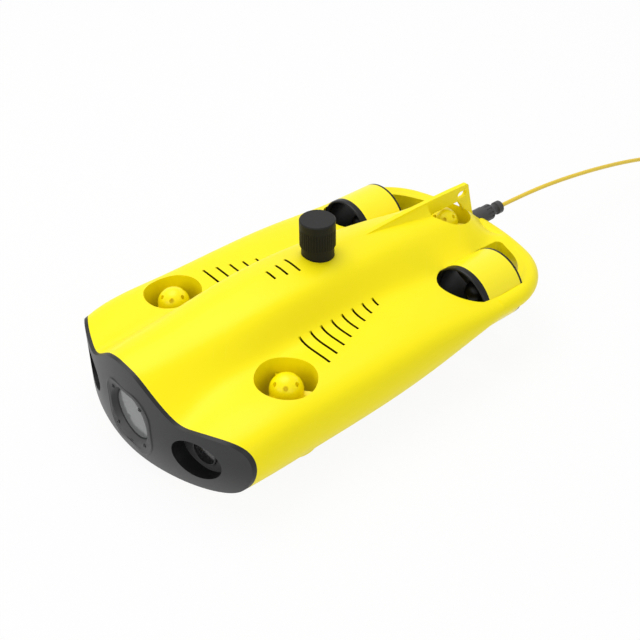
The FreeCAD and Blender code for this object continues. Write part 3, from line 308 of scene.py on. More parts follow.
# %% [markdown]
# ## Shader groups
#
# Moulded plastic, rubber and metal all share a few effects: a fine grain, a slow drift of
# the tint, light scuffs. Each effect is a node group that is built once, with named inputs,
# and placed in many materials with its own values. The groups put out only colours, masks
# and heights; the Principled BSDF stays in each material.

# %% Helpers for groups


def new_group(name, inputs, outputs):
    """An empty shader group with float or colour sockets, and its two end nodes."""
    group = bpy.data.node_groups.new(name, "ShaderNodeTree")
    for label, kind, value in inputs:
        socket = group.interface.new_socket(label, in_out="INPUT", socket_type="NodeSocket" + kind)
        socket.default_value = value
    for label, kind in outputs:
        group.interface.new_socket(label, in_out="OUTPUT", socket_type="NodeSocket" + kind)
    return group, group.nodes.new("NodeGroupInput"), group.nodes.new("NodeGroupOutput")


def add(tree, kind, links=None, **values):
    """A node of a kind, with its settings, and sockets given by links."""
    node = tree.nodes.new("ShaderNode" + kind)
    for label, value in values.items():
        setattr(node, label, value)
    for label, source in (links or {}).items():
        if isinstance(source, bpy.types.NodeSocket):
            tree.links.new(source, node.inputs[label])
        else:
            node.inputs[label].default_value = source
    return node


def value_of(tree, operation, *terms):
    """A Math node of one or two terms."""
    node = tree.nodes.new("ShaderNodeMath")
    node.operation = operation
    for i, term in enumerate(terms):
        if isinstance(term, bpy.types.NodeSocket):
            tree.links.new(term, node.inputs[i])
        else:
            node.inputs[i].default_value = term
    return node.outputs[0]


def blend_colours(tree, factor, first, second):
    """A Mix node that goes from the first colour to the second."""
    node = tree.nodes.new("ShaderNodeMix")
    node.data_type = "RGBA"
    for index, term in ((0, factor), (6, first), (7, second)):
        if isinstance(term, bpy.types.NodeSocket):
            tree.links.new(term, node.inputs[index])
        else:
            node.inputs[index].default_value = term
    return node.outputs[2]


def place_of(tree):
    """X, Y and Z of a point on the piece."""
    spot = tree.nodes.new("ShaderNodeTexCoord").outputs["Object"]
    return add(tree, "SeparateXYZ", {0: spot}).outputs


def facing_of(tree):
    """X, Y and Z of the direction that the surface faces."""
    normal = tree.nodes.new("ShaderNodeTexCoord").outputs["Normal"]
    return add(tree, "SeparateXYZ", {0: normal}).outputs


print("helpers ready")

# %% [markdown]
# ### Moulded grain
#
# A mould is spark-eroded, which leaves a fine leather-like grain on plastic. Two noises of
# different size make it: a fine one for the grain and a slow one for the drift of tint and
# gloss over a large panel. The heights go to a Bump node in the material.

# %% Group: moulded grain


def moulded_grain():
    group, start, end = new_group("Moulded grain", [
        ("Tint", "Color", (0.5, 0.5, 0.5, 1)), ("Drift", "Float", 0.06),
        ("Grain size", "Float", 1500.0),
        ("Gloss low", "Float", 0.35), ("Gloss high", "Float", 0.45),
    ], [("Color", "Color"), ("Roughness", "Float"), ("Height", "Float")])
    place = group.nodes.new("ShaderNodeTexCoord").outputs["Object"]
    slow = add(group, "TexNoise", {"Vector": place, "Scale": 14.0, "Detail": 3.0}).outputs["Fac"]
    fine = add(group, "TexNoise", {"Vector": place, "Scale": start.outputs["Grain size"],
                                   "Detail": 2.0}).outputs["Fac"]
    pits = add(group, "TexVoronoi", {"Vector": place,
                                     "Scale": start.outputs["Grain size"]}).outputs["Distance"]
    shade = value_of(group, "SUBTRACT", slow, 0.5)
    shade = value_of(group, "MULTIPLY", shade, start.outputs["Drift"])
    shade = value_of(group, "ADD", shade, 1.0)
    tint = add(group, "VectorMath", {0: start.outputs["Tint"]}, operation="SCALE")
    group.links.new(shade, tint.inputs["Scale"])
    group.links.new(tint.outputs[0], end.inputs["Color"])
    span = value_of(group, "SUBTRACT", start.outputs["Gloss high"], start.outputs["Gloss low"])
    mixed = value_of(group, "MULTIPLY", value_of(group, "ADD", slow, fine), 0.5)
    rough = value_of(group, "ADD", start.outputs["Gloss low"],
                     value_of(group, "MULTIPLY", span, mixed))
    group.links.new(rough, end.inputs["Roughness"])
    height = value_of(group, "ADD", fine, value_of(group, "MULTIPLY", pits, 0.6))
    group.links.new(height, end.inputs["Height"])
    return group


GRAIN = moulded_grain()
print("group:", GRAIN.name)

# %% [markdown]
# ### Scuffs
#
# Things that are carried and put down get faint streaks. A noise that is stretched along
# one direction looks like streaks, and a high threshold keeps only a few of them. The mask
# lightens the colour a little and dulls the gloss.

# %% Group: scuffs


def scuffs():
    group, start, end = new_group("Scuffs", [
        ("Amount", "Float", 0.3), ("Stretch", "Float", 18.0), ("Size", "Float", 22.0),
    ], [("Mask", "Float"), ("Height", "Float")])
    place = group.nodes.new("ShaderNodeTexCoord").outputs["Object"]
    turned = add(group, "Mapping", {"Vector": place, "Rotation": (0.4, 0.3, 0.7)})
    scale = add(group, "CombineXYZ", {"X": start.outputs["Size"], "Z": start.outputs["Size"]})
    group.links.new(value_of(group, "MULTIPLY", start.outputs["Size"], start.outputs["Stretch"]),
                    scale.inputs["Y"])
    streaks = add(group, "VectorMath", {0: turned.outputs[0], 1: scale.outputs[0]},
                  operation="MULTIPLY")
    lines = add(group, "TexNoise", {"Vector": streaks.outputs[0], "Scale": 1.0, "Detail": 4.0,
                                    "Roughness": 0.65}).outputs["Fac"]
    patches = add(group, "TexNoise", {"Vector": place, "Scale": 9.0, "Detail": 2.0}).outputs["Fac"]
    few = add(group, "MapRange", {"Value": lines, "From Min": 0.6, "From Max": 0.78}).outputs[0]
    where = add(group, "MapRange", {"Value": patches, "From Min": 0.48,
                                    "From Max": 0.66}).outputs[0]
    mask = value_of(group, "MULTIPLY", value_of(group, "MULTIPLY", few, where),
                    start.outputs["Amount"])
    group.links.new(mask, end.inputs["Mask"])
    group.links.new(value_of(group, "MULTIPLY", mask, -1.0), end.inputs["Height"])
    return group


SCUFFS = scuffs()
print("group:", SCUFFS.name)

# %% [markdown]
# ### Dried water
#
# Sea water dries to pale spots and a thin haze where a surface faces up, and the normal's Z
# tells where that is. Both are faint here, since the vehicle is new.

# %% Group: dried water


def dried_water():
    group, start, end = new_group("Dried water", [
        ("Amount", "Float", 0.1), ("Spot size", "Float", 160.0),
    ], [("Mask", "Float")])
    place = group.nodes.new("ShaderNodeTexCoord").outputs["Object"]
    upward = add(group, "MapRange", {"Value": facing_of(group)["Z"], "From Min": 0.2,
                                     "From Max": 0.9}).outputs[0]
    spots = add(group, "TexVoronoi", {"Vector": place, "Scale": start.outputs["Spot size"]})
    drops = add(group, "MapRange", {"Value": spots.outputs["Distance"], "From Min": 0.1,
                                    "From Max": 0.02}).outputs[0]
    haze = add(group, "TexNoise", {"Vector": place, "Scale": 30.0, "Detail": 5.0}).outputs["Fac"]
    both = value_of(group, "MULTIPLY", value_of(group, "ADD", drops, haze), upward)
    group.links.new(value_of(group, "MULTIPLY", both, start.outputs["Amount"]), end.inputs["Mask"])
    return group


WATER = dried_water()
print("group:", WATER.name)

# %% [markdown]
# ## Finishes
#
# Most finishes differ in tint, gloss, grain and wear, so one function builds them all from
# the three groups. What is the same all over a surface, such as the IOR or the coat, is set
# on the Principled BSDF's own sockets.

# %% Finish builder


def use_group(tree, group, **values):
    """A node of a group; an underscore in a label stands for a space."""
    node = tree.nodes.new("ShaderNodeGroup")
    node.node_tree = group
    for label, value in values.items():
        node.inputs[label.replace("_", " ")].default_value = value
    return node


def finish(name, tint, gloss=(0.35, 0.45), grain=1500.0, bump=0.02, drift=0.06, wear=0.25,
           worn_tint=(0.8, 0.8, 0.8), water=0.04, **shader_values):
    """A material of moulded grain, scuffs and dried water round one Principled BSDF."""
    material = bpy.data.materials.new(name)
    material.use_nodes = True
    tree = material.node_tree
    shader = tree.nodes["Principled BSDF"]
    base = use_group(tree, GRAIN, Tint=(*tint, 1), Drift=drift, Grain_size=grain,
                     Gloss_low=gloss[0], Gloss_high=gloss[1])
    worn = use_group(tree, SCUFFS, Amount=wear)
    dried = use_group(tree, WATER, Amount=water)
    colour = blend_colours(tree, worn.outputs["Mask"], base.outputs["Color"], (*worn_tint, 1))
    colour = blend_colours(tree, dried.outputs["Mask"], colour, (0.85, 0.86, 0.86, 1))
    tree.links.new(colour, shader.inputs["Base Color"])
    dull = value_of(tree, "ADD", worn.outputs["Mask"], dried.outputs["Mask"])
    rough = value_of(tree, "ADD", base.outputs["Roughness"],
                     value_of(tree, "MULTIPLY", dull, 0.3))
    tree.links.new(rough, shader.inputs["Roughness"])
    height = value_of(tree, "ADD", base.outputs["Height"], worn.outputs["Height"])
    relief = add(tree, "Bump", {"Height": height, "Strength": bump, "Distance": 0.0004})
    tree.links.new(relief.outputs[0], shader.inputs["Normal"])
    for label, value in shader_values.items():
        shader.inputs[label.replace("_", " ")].default_value = value
    return material


def dress(material, *names):
    """Give CAD pieces a finish."""
    for name in names:
        mesh = nodes[name].data
        mesh.materials.clear()
        mesh.materials.append(material)


def both_sides(name):
    return [name + "_port", name + "_starboard"]


def middle(name):
    """Middle of a CAD piece's box."""
    low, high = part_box(name)
    return (low + high) / 2


print("finish builder ready")

# %% [markdown]
# ### Yellow fairing
#
# The shells are a bright, satin, self-coloured plastic, so light scratches stay yellow. The
# two shells part at one level, and a fine dark line there stands for the joint: a mask from
# the height above the ground, mixed in before the shader. Painted shade darkens the thin walls
# of the louvres, a near-black tint for the shade inside the slots, and the bores of the rear
# ducts are darkened too; masks from place and direction pick them out.

# %% Yellow finishes
YELLOW = (0.97, 0.83, 0.002)
SHADOW_TINT = (0.030, 0.022, 0.002)
SEAM_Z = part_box("top_shell")[0].z
SEAM_HALF = 0.25 * MM
SEAM_TINT = (0.10, 0.08, 0.01)
LOUVRES_FRONT = -62.0      # the louvres lie between these places along the hull
LOUVRES_BACK = 17.0
LOUVRES_ABOVE_SEAM = 20.0
DUCT_BORE = 28.5           # radius of the bore of a rear duct
BORE_TINT = (0.006, 0.006, 0.006)


def recolour(material, mask, tint):
    """Mix a tint into a finish's colour where a mask is 1."""
    tree = material.node_tree
    shader = tree.nodes["Principled BSDF"]
    before = shader.inputs["Base Color"].links[0].from_socket
    tree.links.new(blend_colours(tree, mask, before, (*tint, 1)), shader.inputs["Base Color"])


def joint_line(material, level, half, dark):
    """Darken a thin band of a finish at one height."""
    tree = material.node_tree
    away = value_of(tree, "ABSOLUTE", value_of(tree, "SUBTRACT", place_of(tree)["Z"], level))
    line = add(tree, "MapRange", {"Value": away, "From Min": half, "From Max": 2 * half,
                                  "To Min": 1.0, "To Max": 0.0}).outputs[0]
    recolour(material, line, dark)


def louvre_wall_painted_shade(material, low_y, high_y, low_z, dark):
    """Paint shade on the walls of the louvres, which face along the hull, between two places along
    it.
    """
    tree = material.node_tree
    spot = place_of(tree)
    facing = value_of(tree, "ABSOLUTE", facing_of(tree)["Y"])
    along = value_of(tree, "GREATER_THAN", facing, 0.8)
    inside = value_of(tree, "MULTIPLY", value_of(tree, "GREATER_THAN", spot["Y"], low_y),
                      value_of(tree, "LESS_THAN", spot["Y"], high_y))
    above = value_of(tree, "GREATER_THAN", spot["Z"], low_z)
    mask = value_of(tree, "MULTIPLY", value_of(tree, "MULTIPLY", along, inside), above)
    recolour(material, mask, dark)


def duct_bore(material, axis_x, axis_z, radius, dark):
    """Darken what lies nearer than a radius to the axes of the two ducts along the hull."""
    tree = material.node_tree
    spot = place_of(tree)
    aside = value_of(tree, "SUBTRACT", value_of(tree, "ABSOLUTE", spot["X"]), axis_x)
    above = value_of(tree, "SUBTRACT", spot["Z"], axis_z)
    reach = value_of(tree, "ADD", value_of(tree, "MULTIPLY", aside, aside),
                     value_of(tree, "MULTIPLY", above, above))
    recolour(material, value_of(tree, "LESS_THAN", reach, radius * radius), dark)


hull_yellow = finish("fairing yellow", YELLOW, gloss=(0.36, 0.44), grain=1700, bump=0.03,
                     drift=0.05, wear=0.08, worn_tint=(0.98, 0.90, 0.20), water=0.008,
                     Specular_IOR_Level=0.2)
joint_line(hull_yellow, SEAM_Z, SEAM_HALF, SEAM_TINT)
# Painted shade: the louvre walls get a near-black tint that stands for the shade inside the slots.
louvre_wall_painted_shade(hull_yellow, LOUVRES_FRONT * MM, LOUVRES_BACK * MM, SEAM_Z + LOUVRES_ABOVE_SEAM * MM,
           SHADOW_TINT)
rotor_yellow = finish("rotor yellow", YELLOW, gloss=(0.28, 0.36), grain=2600, bump=0.02,
                      wear=0.08, worn_tint=(0.98, 0.9, 0.3), water=0.0,
                      Specular_IOR_Level=0.25)
duct_yellow = finish("duct yellow", YELLOW, gloss=(0.28, 0.36), grain=1900, bump=0.02,
                     wear=0.06, worn_tint=(0.98, 0.92, 0.2), water=0.012,
                     Specular_IOR_Level=0.45)
duct_middle = middle("rear_duct_port")
duct_bore(duct_yellow, duct_middle.x, duct_middle.z, DUCT_BORE * MM, BORE_TINT)
dress(hull_yellow, "top_shell", "bottom_shell")
dress(rotor_yellow, "prop_aft", "mount_aft", *both_sides("prop_front"), *both_sides("mount_front"),
      *both_sides("guard_front"))
dress(duct_yellow, *both_sides("rear_duct"))
print("seam level %.1f mm" % (SEAM_Z / MM))

# %% [markdown]
# ### Black and grey plastics
#
# Black plastic is never pure black: its surface scatters a little light, and a coarse grain
# makes it look dark grey from a low angle. The nose has the coarsest grain. Painted reflection
# makes it paler low down, where it would mirror the pale floor, and painted shade darkens its
# rim. The cap has a finer grain, and the trim round the ducts is smoother.

# %% Dark finishes


def rim_painted_shade(material, limit, tint):
    """Painted shade on the rim of the nose, whose faces look away from the front."""
    tree = material.node_tree
    facing = value_of(tree, "ABSOLUTE", facing_of(tree)["Y"])
    recolour(material, value_of(tree, "LESS_THAN", facing, limit), tint)


def paler_low_painted_reflection(material, low, high, tint):
    """Drift a finish towards a paler tint below a height: painted reflection of the pale floor on
    the lower nose.
    """
    tree = material.node_tree
    share = add(tree, "MapRange", {"Value": place_of(tree)["Z"], "From Min": low, "From Max": high,
                                   "To Min": 1.0, "To Max": 0.0}).outputs[0]
    recolour(material, value_of(tree, "MULTIPLY", share, share), tint)


NOSE_REFLECTION_LOW, NOSE_REFLECTION_HIGH = 4 * MM, 50 * MM
nose_black = finish("nose black", (0.020, 0.020, 0.021), gloss=(0.40, 0.50), grain=1300,
                    bump=0.10, drift=0.2, wear=0.10, worn_tint=(0.10, 0.10, 0.10), water=0.02,
                    Specular_IOR_Level=0.32)
# Painted reflection: the nose turns paler towards the bottom, as if it mirrored the pale floor.
paler_low_painted_reflection(nose_black, NOSE_REFLECTION_LOW, NOSE_REFLECTION_HIGH, (0.135, 0.135, 0.137))
# Painted shade: the faces of the nose that turn away from the front are darkened.
rim_painted_shade(nose_black, 0.6, (0.006, 0.006, 0.006))
trim_black = finish("trim black", (0.004, 0.004, 0.004), gloss=(0.30, 0.40), grain=2200,
                    bump=0.04, drift=0.2, wear=0.10, worn_tint=(0.05, 0.05, 0.05), water=0.005,
                    Specular_IOR_Level=0.22)
cap_grey = finish("cap grey", (0.007, 0.007, 0.0065), gloss=(0.46, 0.58), grain=2400, bump=0.08,
                  drift=0.15, wear=0.2, worn_tint=(0.08, 0.08, 0.075), water=0.012,
                  Specular_IOR_Level=0.18)
plug_black = finish("plug black", (0.020, 0.020, 0.021), gloss=(0.42, 0.55), grain=1800,
                    bump=0.06, wear=0.2, worn_tint=(0.12, 0.12, 0.12))
foot_rubber = finish("foot rubber", (0.022, 0.022, 0.022), gloss=(0.70, 0.85), grain=900,
                     bump=0.25, wear=0.4, worn_tint=(0.10, 0.10, 0.10), water=0.0)
dress(nose_black, "front_bezel", "window_retainer")
dress(trim_black, *both_sides("inlet_shroud"), *both_sides("outlet_guard"),
      *both_sides("prop_rear"), "guard_aft", "front_cradle", "rear_cradle")
dress(cap_grey, "port_cap", "port_neck")
dress(plug_black, "tether_socket", "coupling_ring", "tether_plug", "surface_connector")
dress(foot_rubber, "rubber_feet", "port_ring")
print("dark finishes: 5")

# %% [markdown]
# ### Cable, straps, cells and foam
#
# The cable's jacket is extruded and nearly smooth. The straps are woven, which two crossed
# Wave textures imitate. Inside, the foam is made of fine closed cells, and a shrunk sleeve
# holds the battery.

# %% Soft finishes


def woven(name, tint, threads):
    """A finish with two crossed sets of threads in its relief."""
    material = finish(name, tint, gloss=(0.7, 0.85), grain=900, bump=0.2, wear=0.1,
                      worn_tint=(0.2, 0.2, 0.2), water=0.0)
    tree = material.node_tree
    place = tree.nodes.new("ShaderNodeTexCoord").outputs["Object"]
    waves = [add(tree, "TexWave", {"Vector": place, "Scale": threads},
                 bands_direction=axis).outputs["Fac"] for axis in ("DIAGONAL", "Z")]
    relief = next(node for node in tree.nodes if node.type == "BUMP")
    tree.links.new(value_of(tree, "ADD", *waves), relief.inputs["Height"])
    relief.inputs["Strength"].default_value = 0.5
    return material


cable_yellow = finish("cable yellow", (0.80, 0.58, 0.035), gloss=(0.38, 0.5), grain=1200,
                      bump=0.05, drift=0.12, wear=0.2, worn_tint=(0.9, 0.8, 0.4), water=0.0)
strap_weave = woven("strap weave", (0.02, 0.02, 0.022), 420.0)
foam_white = finish("closed foam", (0.70, 0.68, 0.60), gloss=(0.8, 0.9), grain=700, bump=0.5,
                    wear=0.0, water=0.0)
sleeve_blue = finish("cell sleeve", (0.02, 0.07, 0.22), gloss=(0.2, 0.3), grain=600, bump=0.02,
                     wear=0.05)
tether.data.materials.append(cable_yellow)
for strap in straps:
    strap.data.materials.append(strap_weave)
dress(cable_yellow, "tether_lead", "tether_coil")
dress(foam_white, *both_sides("buoyancy_foam"))
dress(sleeve_blue, "battery_pack")
print("soft finishes: 4")

# %% [markdown]
# ### Metals
#
# The pressure tube is anodised aluminium, the shell screws and ballast are stainless steel,
# the screws round the window are blackened and the thread insert is brass. Metals use the
# same groups as the plastics, with Metallic near 1 and a finer grain.

# %% Metal finishes
anodised = finish("anodised tube", (0.42, 0.43, 0.45), gloss=(0.28, 0.4), grain=2400, bump=0.05,
                  wear=0.1, worn_tint=(0.7, 0.7, 0.7), Metallic=1.0)
motor_metal = finish("motor can", (0.16, 0.17, 0.18), gloss=(0.3, 0.4), grain=2400, bump=0.05,
                     wear=0.1, worn_tint=(0.5, 0.5, 0.5), Metallic=1.0)
steel = finish("stainless steel", (0.52, 0.52, 0.53), gloss=(0.22, 0.34), grain=2600, bump=0.04,
               wear=0.2, worn_tint=(0.7, 0.7, 0.7), Metallic=1.0)
brass = finish("brass insert", (0.62, 0.42, 0.13), gloss=(0.25, 0.38), grain=2600, bump=0.05,
               wear=0.2, worn_tint=(0.8, 0.65, 0.3), Metallic=1.0)
black_steel = finish("blackened steel", (0.03, 0.03, 0.031), gloss=(0.35, 0.45), grain=2600,
                     bump=0.04, wear=0.2, worn_tint=(0.15, 0.15, 0.15), Metallic=0.6)
dress(anodised, "pressure_tube", "tube_front_cap", "tube_rear_cap")
dress(motor_metal, "motor_aft", *both_sides("motor_front"), *both_sides("motor_rear"))
dress(steel, "hull_screws", "window_screws", "ballast_bars")
dress(brass, "accessory_insert")
print("metal finishes: 5")

# %% [markdown]
# ### Glass, boards and lamps
#
# The camera window is thick acrylic. It is clear from the front, and at a flat angle it gets
# a painted sheen: a Layer Weight node lowers its transmission there and mixes pale grey into its
# colour.
# The lamp lenses are smoked and keep a plain transmission. The circuit boards have a green
# lacquer with fine tracks, made by a brick pattern.

# %% Glass and board finishes


def clear(name, tint, transmission, gloss, painted_sheen_transmission=None):
    """Glass or acrylic with slightly uneven polish. The last argument is its transmission at a
    flat angle, where a painted sheen mixes pale grey into its colour.
    """
    material = bpy.data.materials.new(name)
    material.use_nodes = True
    tree = material.node_tree
    shader = tree.nodes["Principled BSDF"]
    base = use_group(tree, GRAIN, Tint=(*tint, 1), Drift=0.05, Grain_size=300.0,
                     Gloss_low=gloss[0], Gloss_high=gloss[1])
    tree.links.new(base.outputs["Color"], shader.inputs["Base Color"])
    tree.links.new(base.outputs["Roughness"], shader.inputs["Roughness"])
    shader.inputs["Transmission Weight"].default_value = transmission
    if painted_sheen_transmission is not None:
        # Painted sheen: pale grey is mixed into the colour where the surface is seen at a flat
        # angle.
        facing = add(tree, "LayerWeight", {"Blend": 0.5}).outputs["Facing"]
        flat = add(tree, "MapRange", {"Value": facing, "From Min": 0.12,
                                      "From Max": 0.42}).outputs[0]
        share = add(tree, "MapRange", {"Value": flat, "To Min": transmission, "To Max": painted_sheen_transmission})
        colour = blend_colours(tree, flat, (0.80, 0.83, 0.85, 1), base.outputs["Color"])
        tree.links.new(share.outputs[0], shader.inputs["Transmission Weight"])
        tree.links.new(colour, shader.inputs["Base Color"])
    shader.inputs["IOR"].default_value = 1.49
    return material


def circuit(name, tint):
    """Lacquered board with copper tracks."""
    material = finish(name, tint, gloss=(0.25, 0.35), grain=900, bump=0.03, wear=0.0, water=0.0)
    tree = material.node_tree
    place = tree.nodes.new("ShaderNodeTexCoord").outputs["Object"]
    tracks = add(tree, "TexBrick", {"Vector": place, "Scale": 260.0, "Mortar Size": 0.06,
                                    "Color1": (0, 0, 0, 1), "Color2": (0, 0, 0, 1),
                                    "Mortar": (1, 1, 1, 1)}).outputs["Fac"]
    recolour(material, tracks, (0.08, 0.30, 0.12))
    return material


# The window gets a painted sheen, pale grey at a flat angle.
window_clear = clear("window acrylic", (0.172, 0.175, 0.175), 0.80, (0.08, 0.16),
                     painted_sheen_transmission=0.05)
lamp_clear = clear("lamp acrylic", (0.035, 0.035, 0.037), 0.75, (0.04, 0.10))
board_green = circuit("board lacquer", (0.015, 0.09, 0.035))
camera_black = finish("camera black", (0.012, 0.012, 0.012), gloss=(0.35, 0.5), grain=2400,
                      bump=0.05, wear=0.0, water=0.0)
dress(window_clear, "camera_window")
dress(lamp_clear, *both_sides("lamp_lens"))
dress(board_green, "main_board", *both_sides("lamp_board"))
dress(camera_black, "camera_module")
print("clear finishes: 2")

# %% [markdown]
# ## Turned pieces
#
# Rings, bowls and lens elements are turned shapes: a short profile, spun round an axis.
# Blender's Spin tool or a Screw modifier would do it. A small function keeps the profile,
# the axis and the place together, and it makes a clean grid of faces.

# %% Lathe


def lathe(name, profile, centre, axis, steps=64, closed=True):
    """Spin (radius, height) points in millimetres round an axis through centre.

    A ring's profile is closed. That of a disc or a dome is open and ends on the axis.
    """
    bm = bmesh.new()
    turn = Vector((0, 0, 1)).rotation_difference(Vector(axis).normalized()).to_matrix()
    rings = []
    for i in range(steps):
        angle = 2 * math.pi * i / steps
        spots = [Vector((r * math.cos(angle), r * math.sin(angle), h)) * MM for r, h in profile]
        rings.append([bm.verts.new(centre + turn @ spot) for spot in spots])
    bridge(bm, rings + rings[:1], closed)
    bmesh.ops.remove_doubles(bm, verts=bm.verts, dist=1e-6)
    return mesh_object(name, bm)


def fit_out(piece, material, body="hull"):
    """Finish a new piece and let it move with its body."""
    piece.data.materials.append(material)
    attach(piece, body)
    return piece


print("lathe ready")

# %% [markdown]
# ### Behind the camera window
#
# The camera looks out through a flat acrylic window. Behind it are the lens barrel's stepped
# baffle, which stops stray light, and the front element, a shallow dome of glass. The dome's
# profile is an arc of a circle.

# %% Lens stack
OUTWARD = (0, -1, 0)
DOME_BACK = 0.6            # thickness of a dome below its rim
window_centre = middle("camera_window")
barrel_front = Vector((0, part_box("camera_module")[0].y, window_centre.z))

baffle_profile = [(11.4, -1.5), (11.4, 1.2), (9.2, 1.2), (9.0, 0.2), (7.4, 0.0), (7.2, -1.0),
                  (6.0, -1.2)]
fit_out(lathe("lens_baffle", baffle_profile, barrel_front, OUTWARD), camera_black)


def dome_profile(radius, rise, steps=8):
    """A shallow dome from its axis to its rim, closed by a flat back."""
    ball = (radius * radius + rise * rise) / (2 * rise)
    radii = [radius * i / steps for i in range(steps + 1)]
    profile = [(r, math.sqrt(ball * ball - r * r) - ball + rise) for r in radii]
    return profile + [(radius, -DOME_BACK), (0, -DOME_BACK)]


lens_glass = clear("lens element", (0.55, 0.60, 0.70), 0.85, (0.02, 0.05))
fit_out(lathe("lens_element", dome_profile(6.2, 1.6), barrel_front, OUTWARD, closed=False),
        lens_glass)
print("lens stack: 2")

# %% [markdown]
# ### Window surround
#
# A moulded surround holds the window against its seal, a soft black ring. It has a flat
# raised rim, a face that follows the bend of the nose, room for four screws in its corners
# and a round bore. It is a square with round corners outside and a circle inside, so each
# loop of its mesh is given as a distance for every angle, and neighbouring loops are joined
# by faces.

# %% Surround, window and seal
BORE_R = 21.6
GLASS_FRONT = -186.4       # place of the pane's face along the hull
GLASS_RIM = BORE_R - 0.5   # radius of the pane
GLASS_DEPTH = 4.0
NOSE_ARC_R = 200.0         # radius of the bend of the nose, seen from above
NOSE_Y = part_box("front_bezel")[0].y / MM
SURROUND_STEPS = 96
# Loops on the nose: half side, corner radius, depth below the face of the nose.
FACE_LOOPS = [(29.0, 19.5, 0.5), (28.7, 19.2, -0.5), (27.2, 17.7, -0.5), (26.7, 17.2, -0.05),
              (24.9, 15.4, -0.05), (24.6, 15.1, 0.1)]
# Loops of the bore: radius, place along the hull.
BORE_LOOPS = [(24.3, -191.0), (24.0, -190.8), (22.2, -187.2), (BORE_R, GLASS_FRONT - 0.5),
              (BORE_R, GLASS_FRONT + 1.0)]


def square_reach(angle, half, corner):
    """Distance from the middle of a round-cornered square to its outline at an angle."""
    x, z = abs(math.cos(angle)), abs(math.sin(angle))
    flat = half - corner
    side = half / max(x, z)
    if side * min(x, z) <= flat:
        return side
    along = flat * (x + z)
    return along + math.sqrt(along * along - 2 * flat * flat + corner * corner)


def nose_face(x):
    """Place along the hull of the nose face, in millimetres."""
    return NOSE_Y + NOSE_ARC_R - math.sqrt(NOSE_ARC_R ** 2 - x * x)


def surround_loop(bm, reach_at, y_at):
    """One loop of corners, from its distance at an angle and its place along the hull."""
    ring = []
    for i in range(SURROUND_STEPS):
        angle = 2 * math.pi * i / SURROUND_STEPS
        reach = reach_at(angle)
        x = reach * math.cos(angle)
        z = window_centre.z + reach * math.sin(angle) * MM
        ring.append(bm.verts.new((x * MM, y_at(x) * MM, z)))
    return ring


def window_surround():
    """The square rim on the face of the nose, and the round bore inside it."""
    bm = bmesh.new()
    rings = [surround_loop(bm, lambda angle: square_reach(angle, half, corner),
                           lambda x: max(nose_face(x) + sink, NOSE_Y))
             for half, corner, sink in FACE_LOOPS]
    rings += [surround_loop(bm, lambda angle: radius, lambda x: y) for radius, y in BORE_LOOPS]
    bridge(bm, rings)
    return mesh_object("window_surround", bm)


surround = fit_out(window_surround(), nose_black)
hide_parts("window_retainer")
glass_place = Vector((0, GLASS_FRONT * MM, window_centre.z))
glass_profile = [(0, 0), (GLASS_RIM - 0.7, 0), (GLASS_RIM - 0.4, 0), (GLASS_RIM, -0.4),
                 (GLASS_RIM, -GLASS_DEPTH), (GLASS_RIM - 0.4, -GLASS_DEPTH), (0, -GLASS_DEPTH)]
glass = fit_out(lathe("window_pane", glass_profile, glass_place, OUTWARD, steps=SURROUND_STEPS,
                      closed=False), window_clear)
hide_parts("camera_window")
seal_profile = [(BORE_R - 0.6, -0.3), (BORE_R - 0.55, 0.1), (BORE_R - 0.3, 0.3), (BORE_R, 0.15),
                (BORE_R, -0.6)]
fit_out(lathe("window_seal", seal_profile, glass_place, OUTWARD, steps=SURROUND_STEPS),
        foot_rubber)
print("bore of the surround %.1f mm" % (2 * BORE_R))

# %% [markdown]
# ### Lamps
#
# Each lamp has two emitters in polished bowls behind a smoked lens. A bowl is a parabola,
# because it sends the light straight out. The bowls turn a little outward with their lens,
# so their axis comes from the lens and board of the frame.

# %% Lamp bowls and emitters


def lamp_axis(side):
    """Centre of the lens, and the direction that the lamp looks, from its board to its lens."""
    lens, board = middle("lamp_lens_" + side), middle("lamp_board_" + side)
    outward = lens - board
    outward.z = 0
    return lens, outward.normalized()


phosphor = finish("phosphor", (0.85, 0.72, 0.18), gloss=(0.5, 0.6), grain=3000, bump=0.1,
                  wear=0.0, water=0.0)
bowl_metal = finish("bowl coating", (0.78, 0.78, 0.79), gloss=(0.08, 0.15), grain=1500, bump=0.01,
                    wear=0.0, water=0.0, Metallic=1.0)
EMITTER_SPREAD = 4.5       # from the middle of a lamp to each emitter
BOWL_BEHIND = 1.7          # from the middle of the lens back to the foot of a bowl
BOWL_FOOT = 0.9            # radius of the hole for the emitter
BOWL_WIDTH = 3.06          # growth of the radius from foot to rim
BOWL_DEPTH = 2.6
BOWL_WALL = 0.25
BOWL_STEPS = 6
CHIP_ABOVE = 0.3           # from the foot of a bowl to its emitter
RIM_AHEAD = 1.5            # from the middle of the lens to its rim
bowl_profile = [(BOWL_FOOT + BOWL_WIDTH * math.sqrt(i / BOWL_STEPS), i * BOWL_DEPTH / BOWL_STEPS)
                for i in range(BOWL_STEPS + 1)]
bowl_profile += [(r + BOWL_WALL, h) for r, h in reversed(bowl_profile)]
rim_profile = [(11.3, -0.2), (11.3, 0.5), (10.6, 0.8), (10.0, 0.5), (10.0, -0.2)]
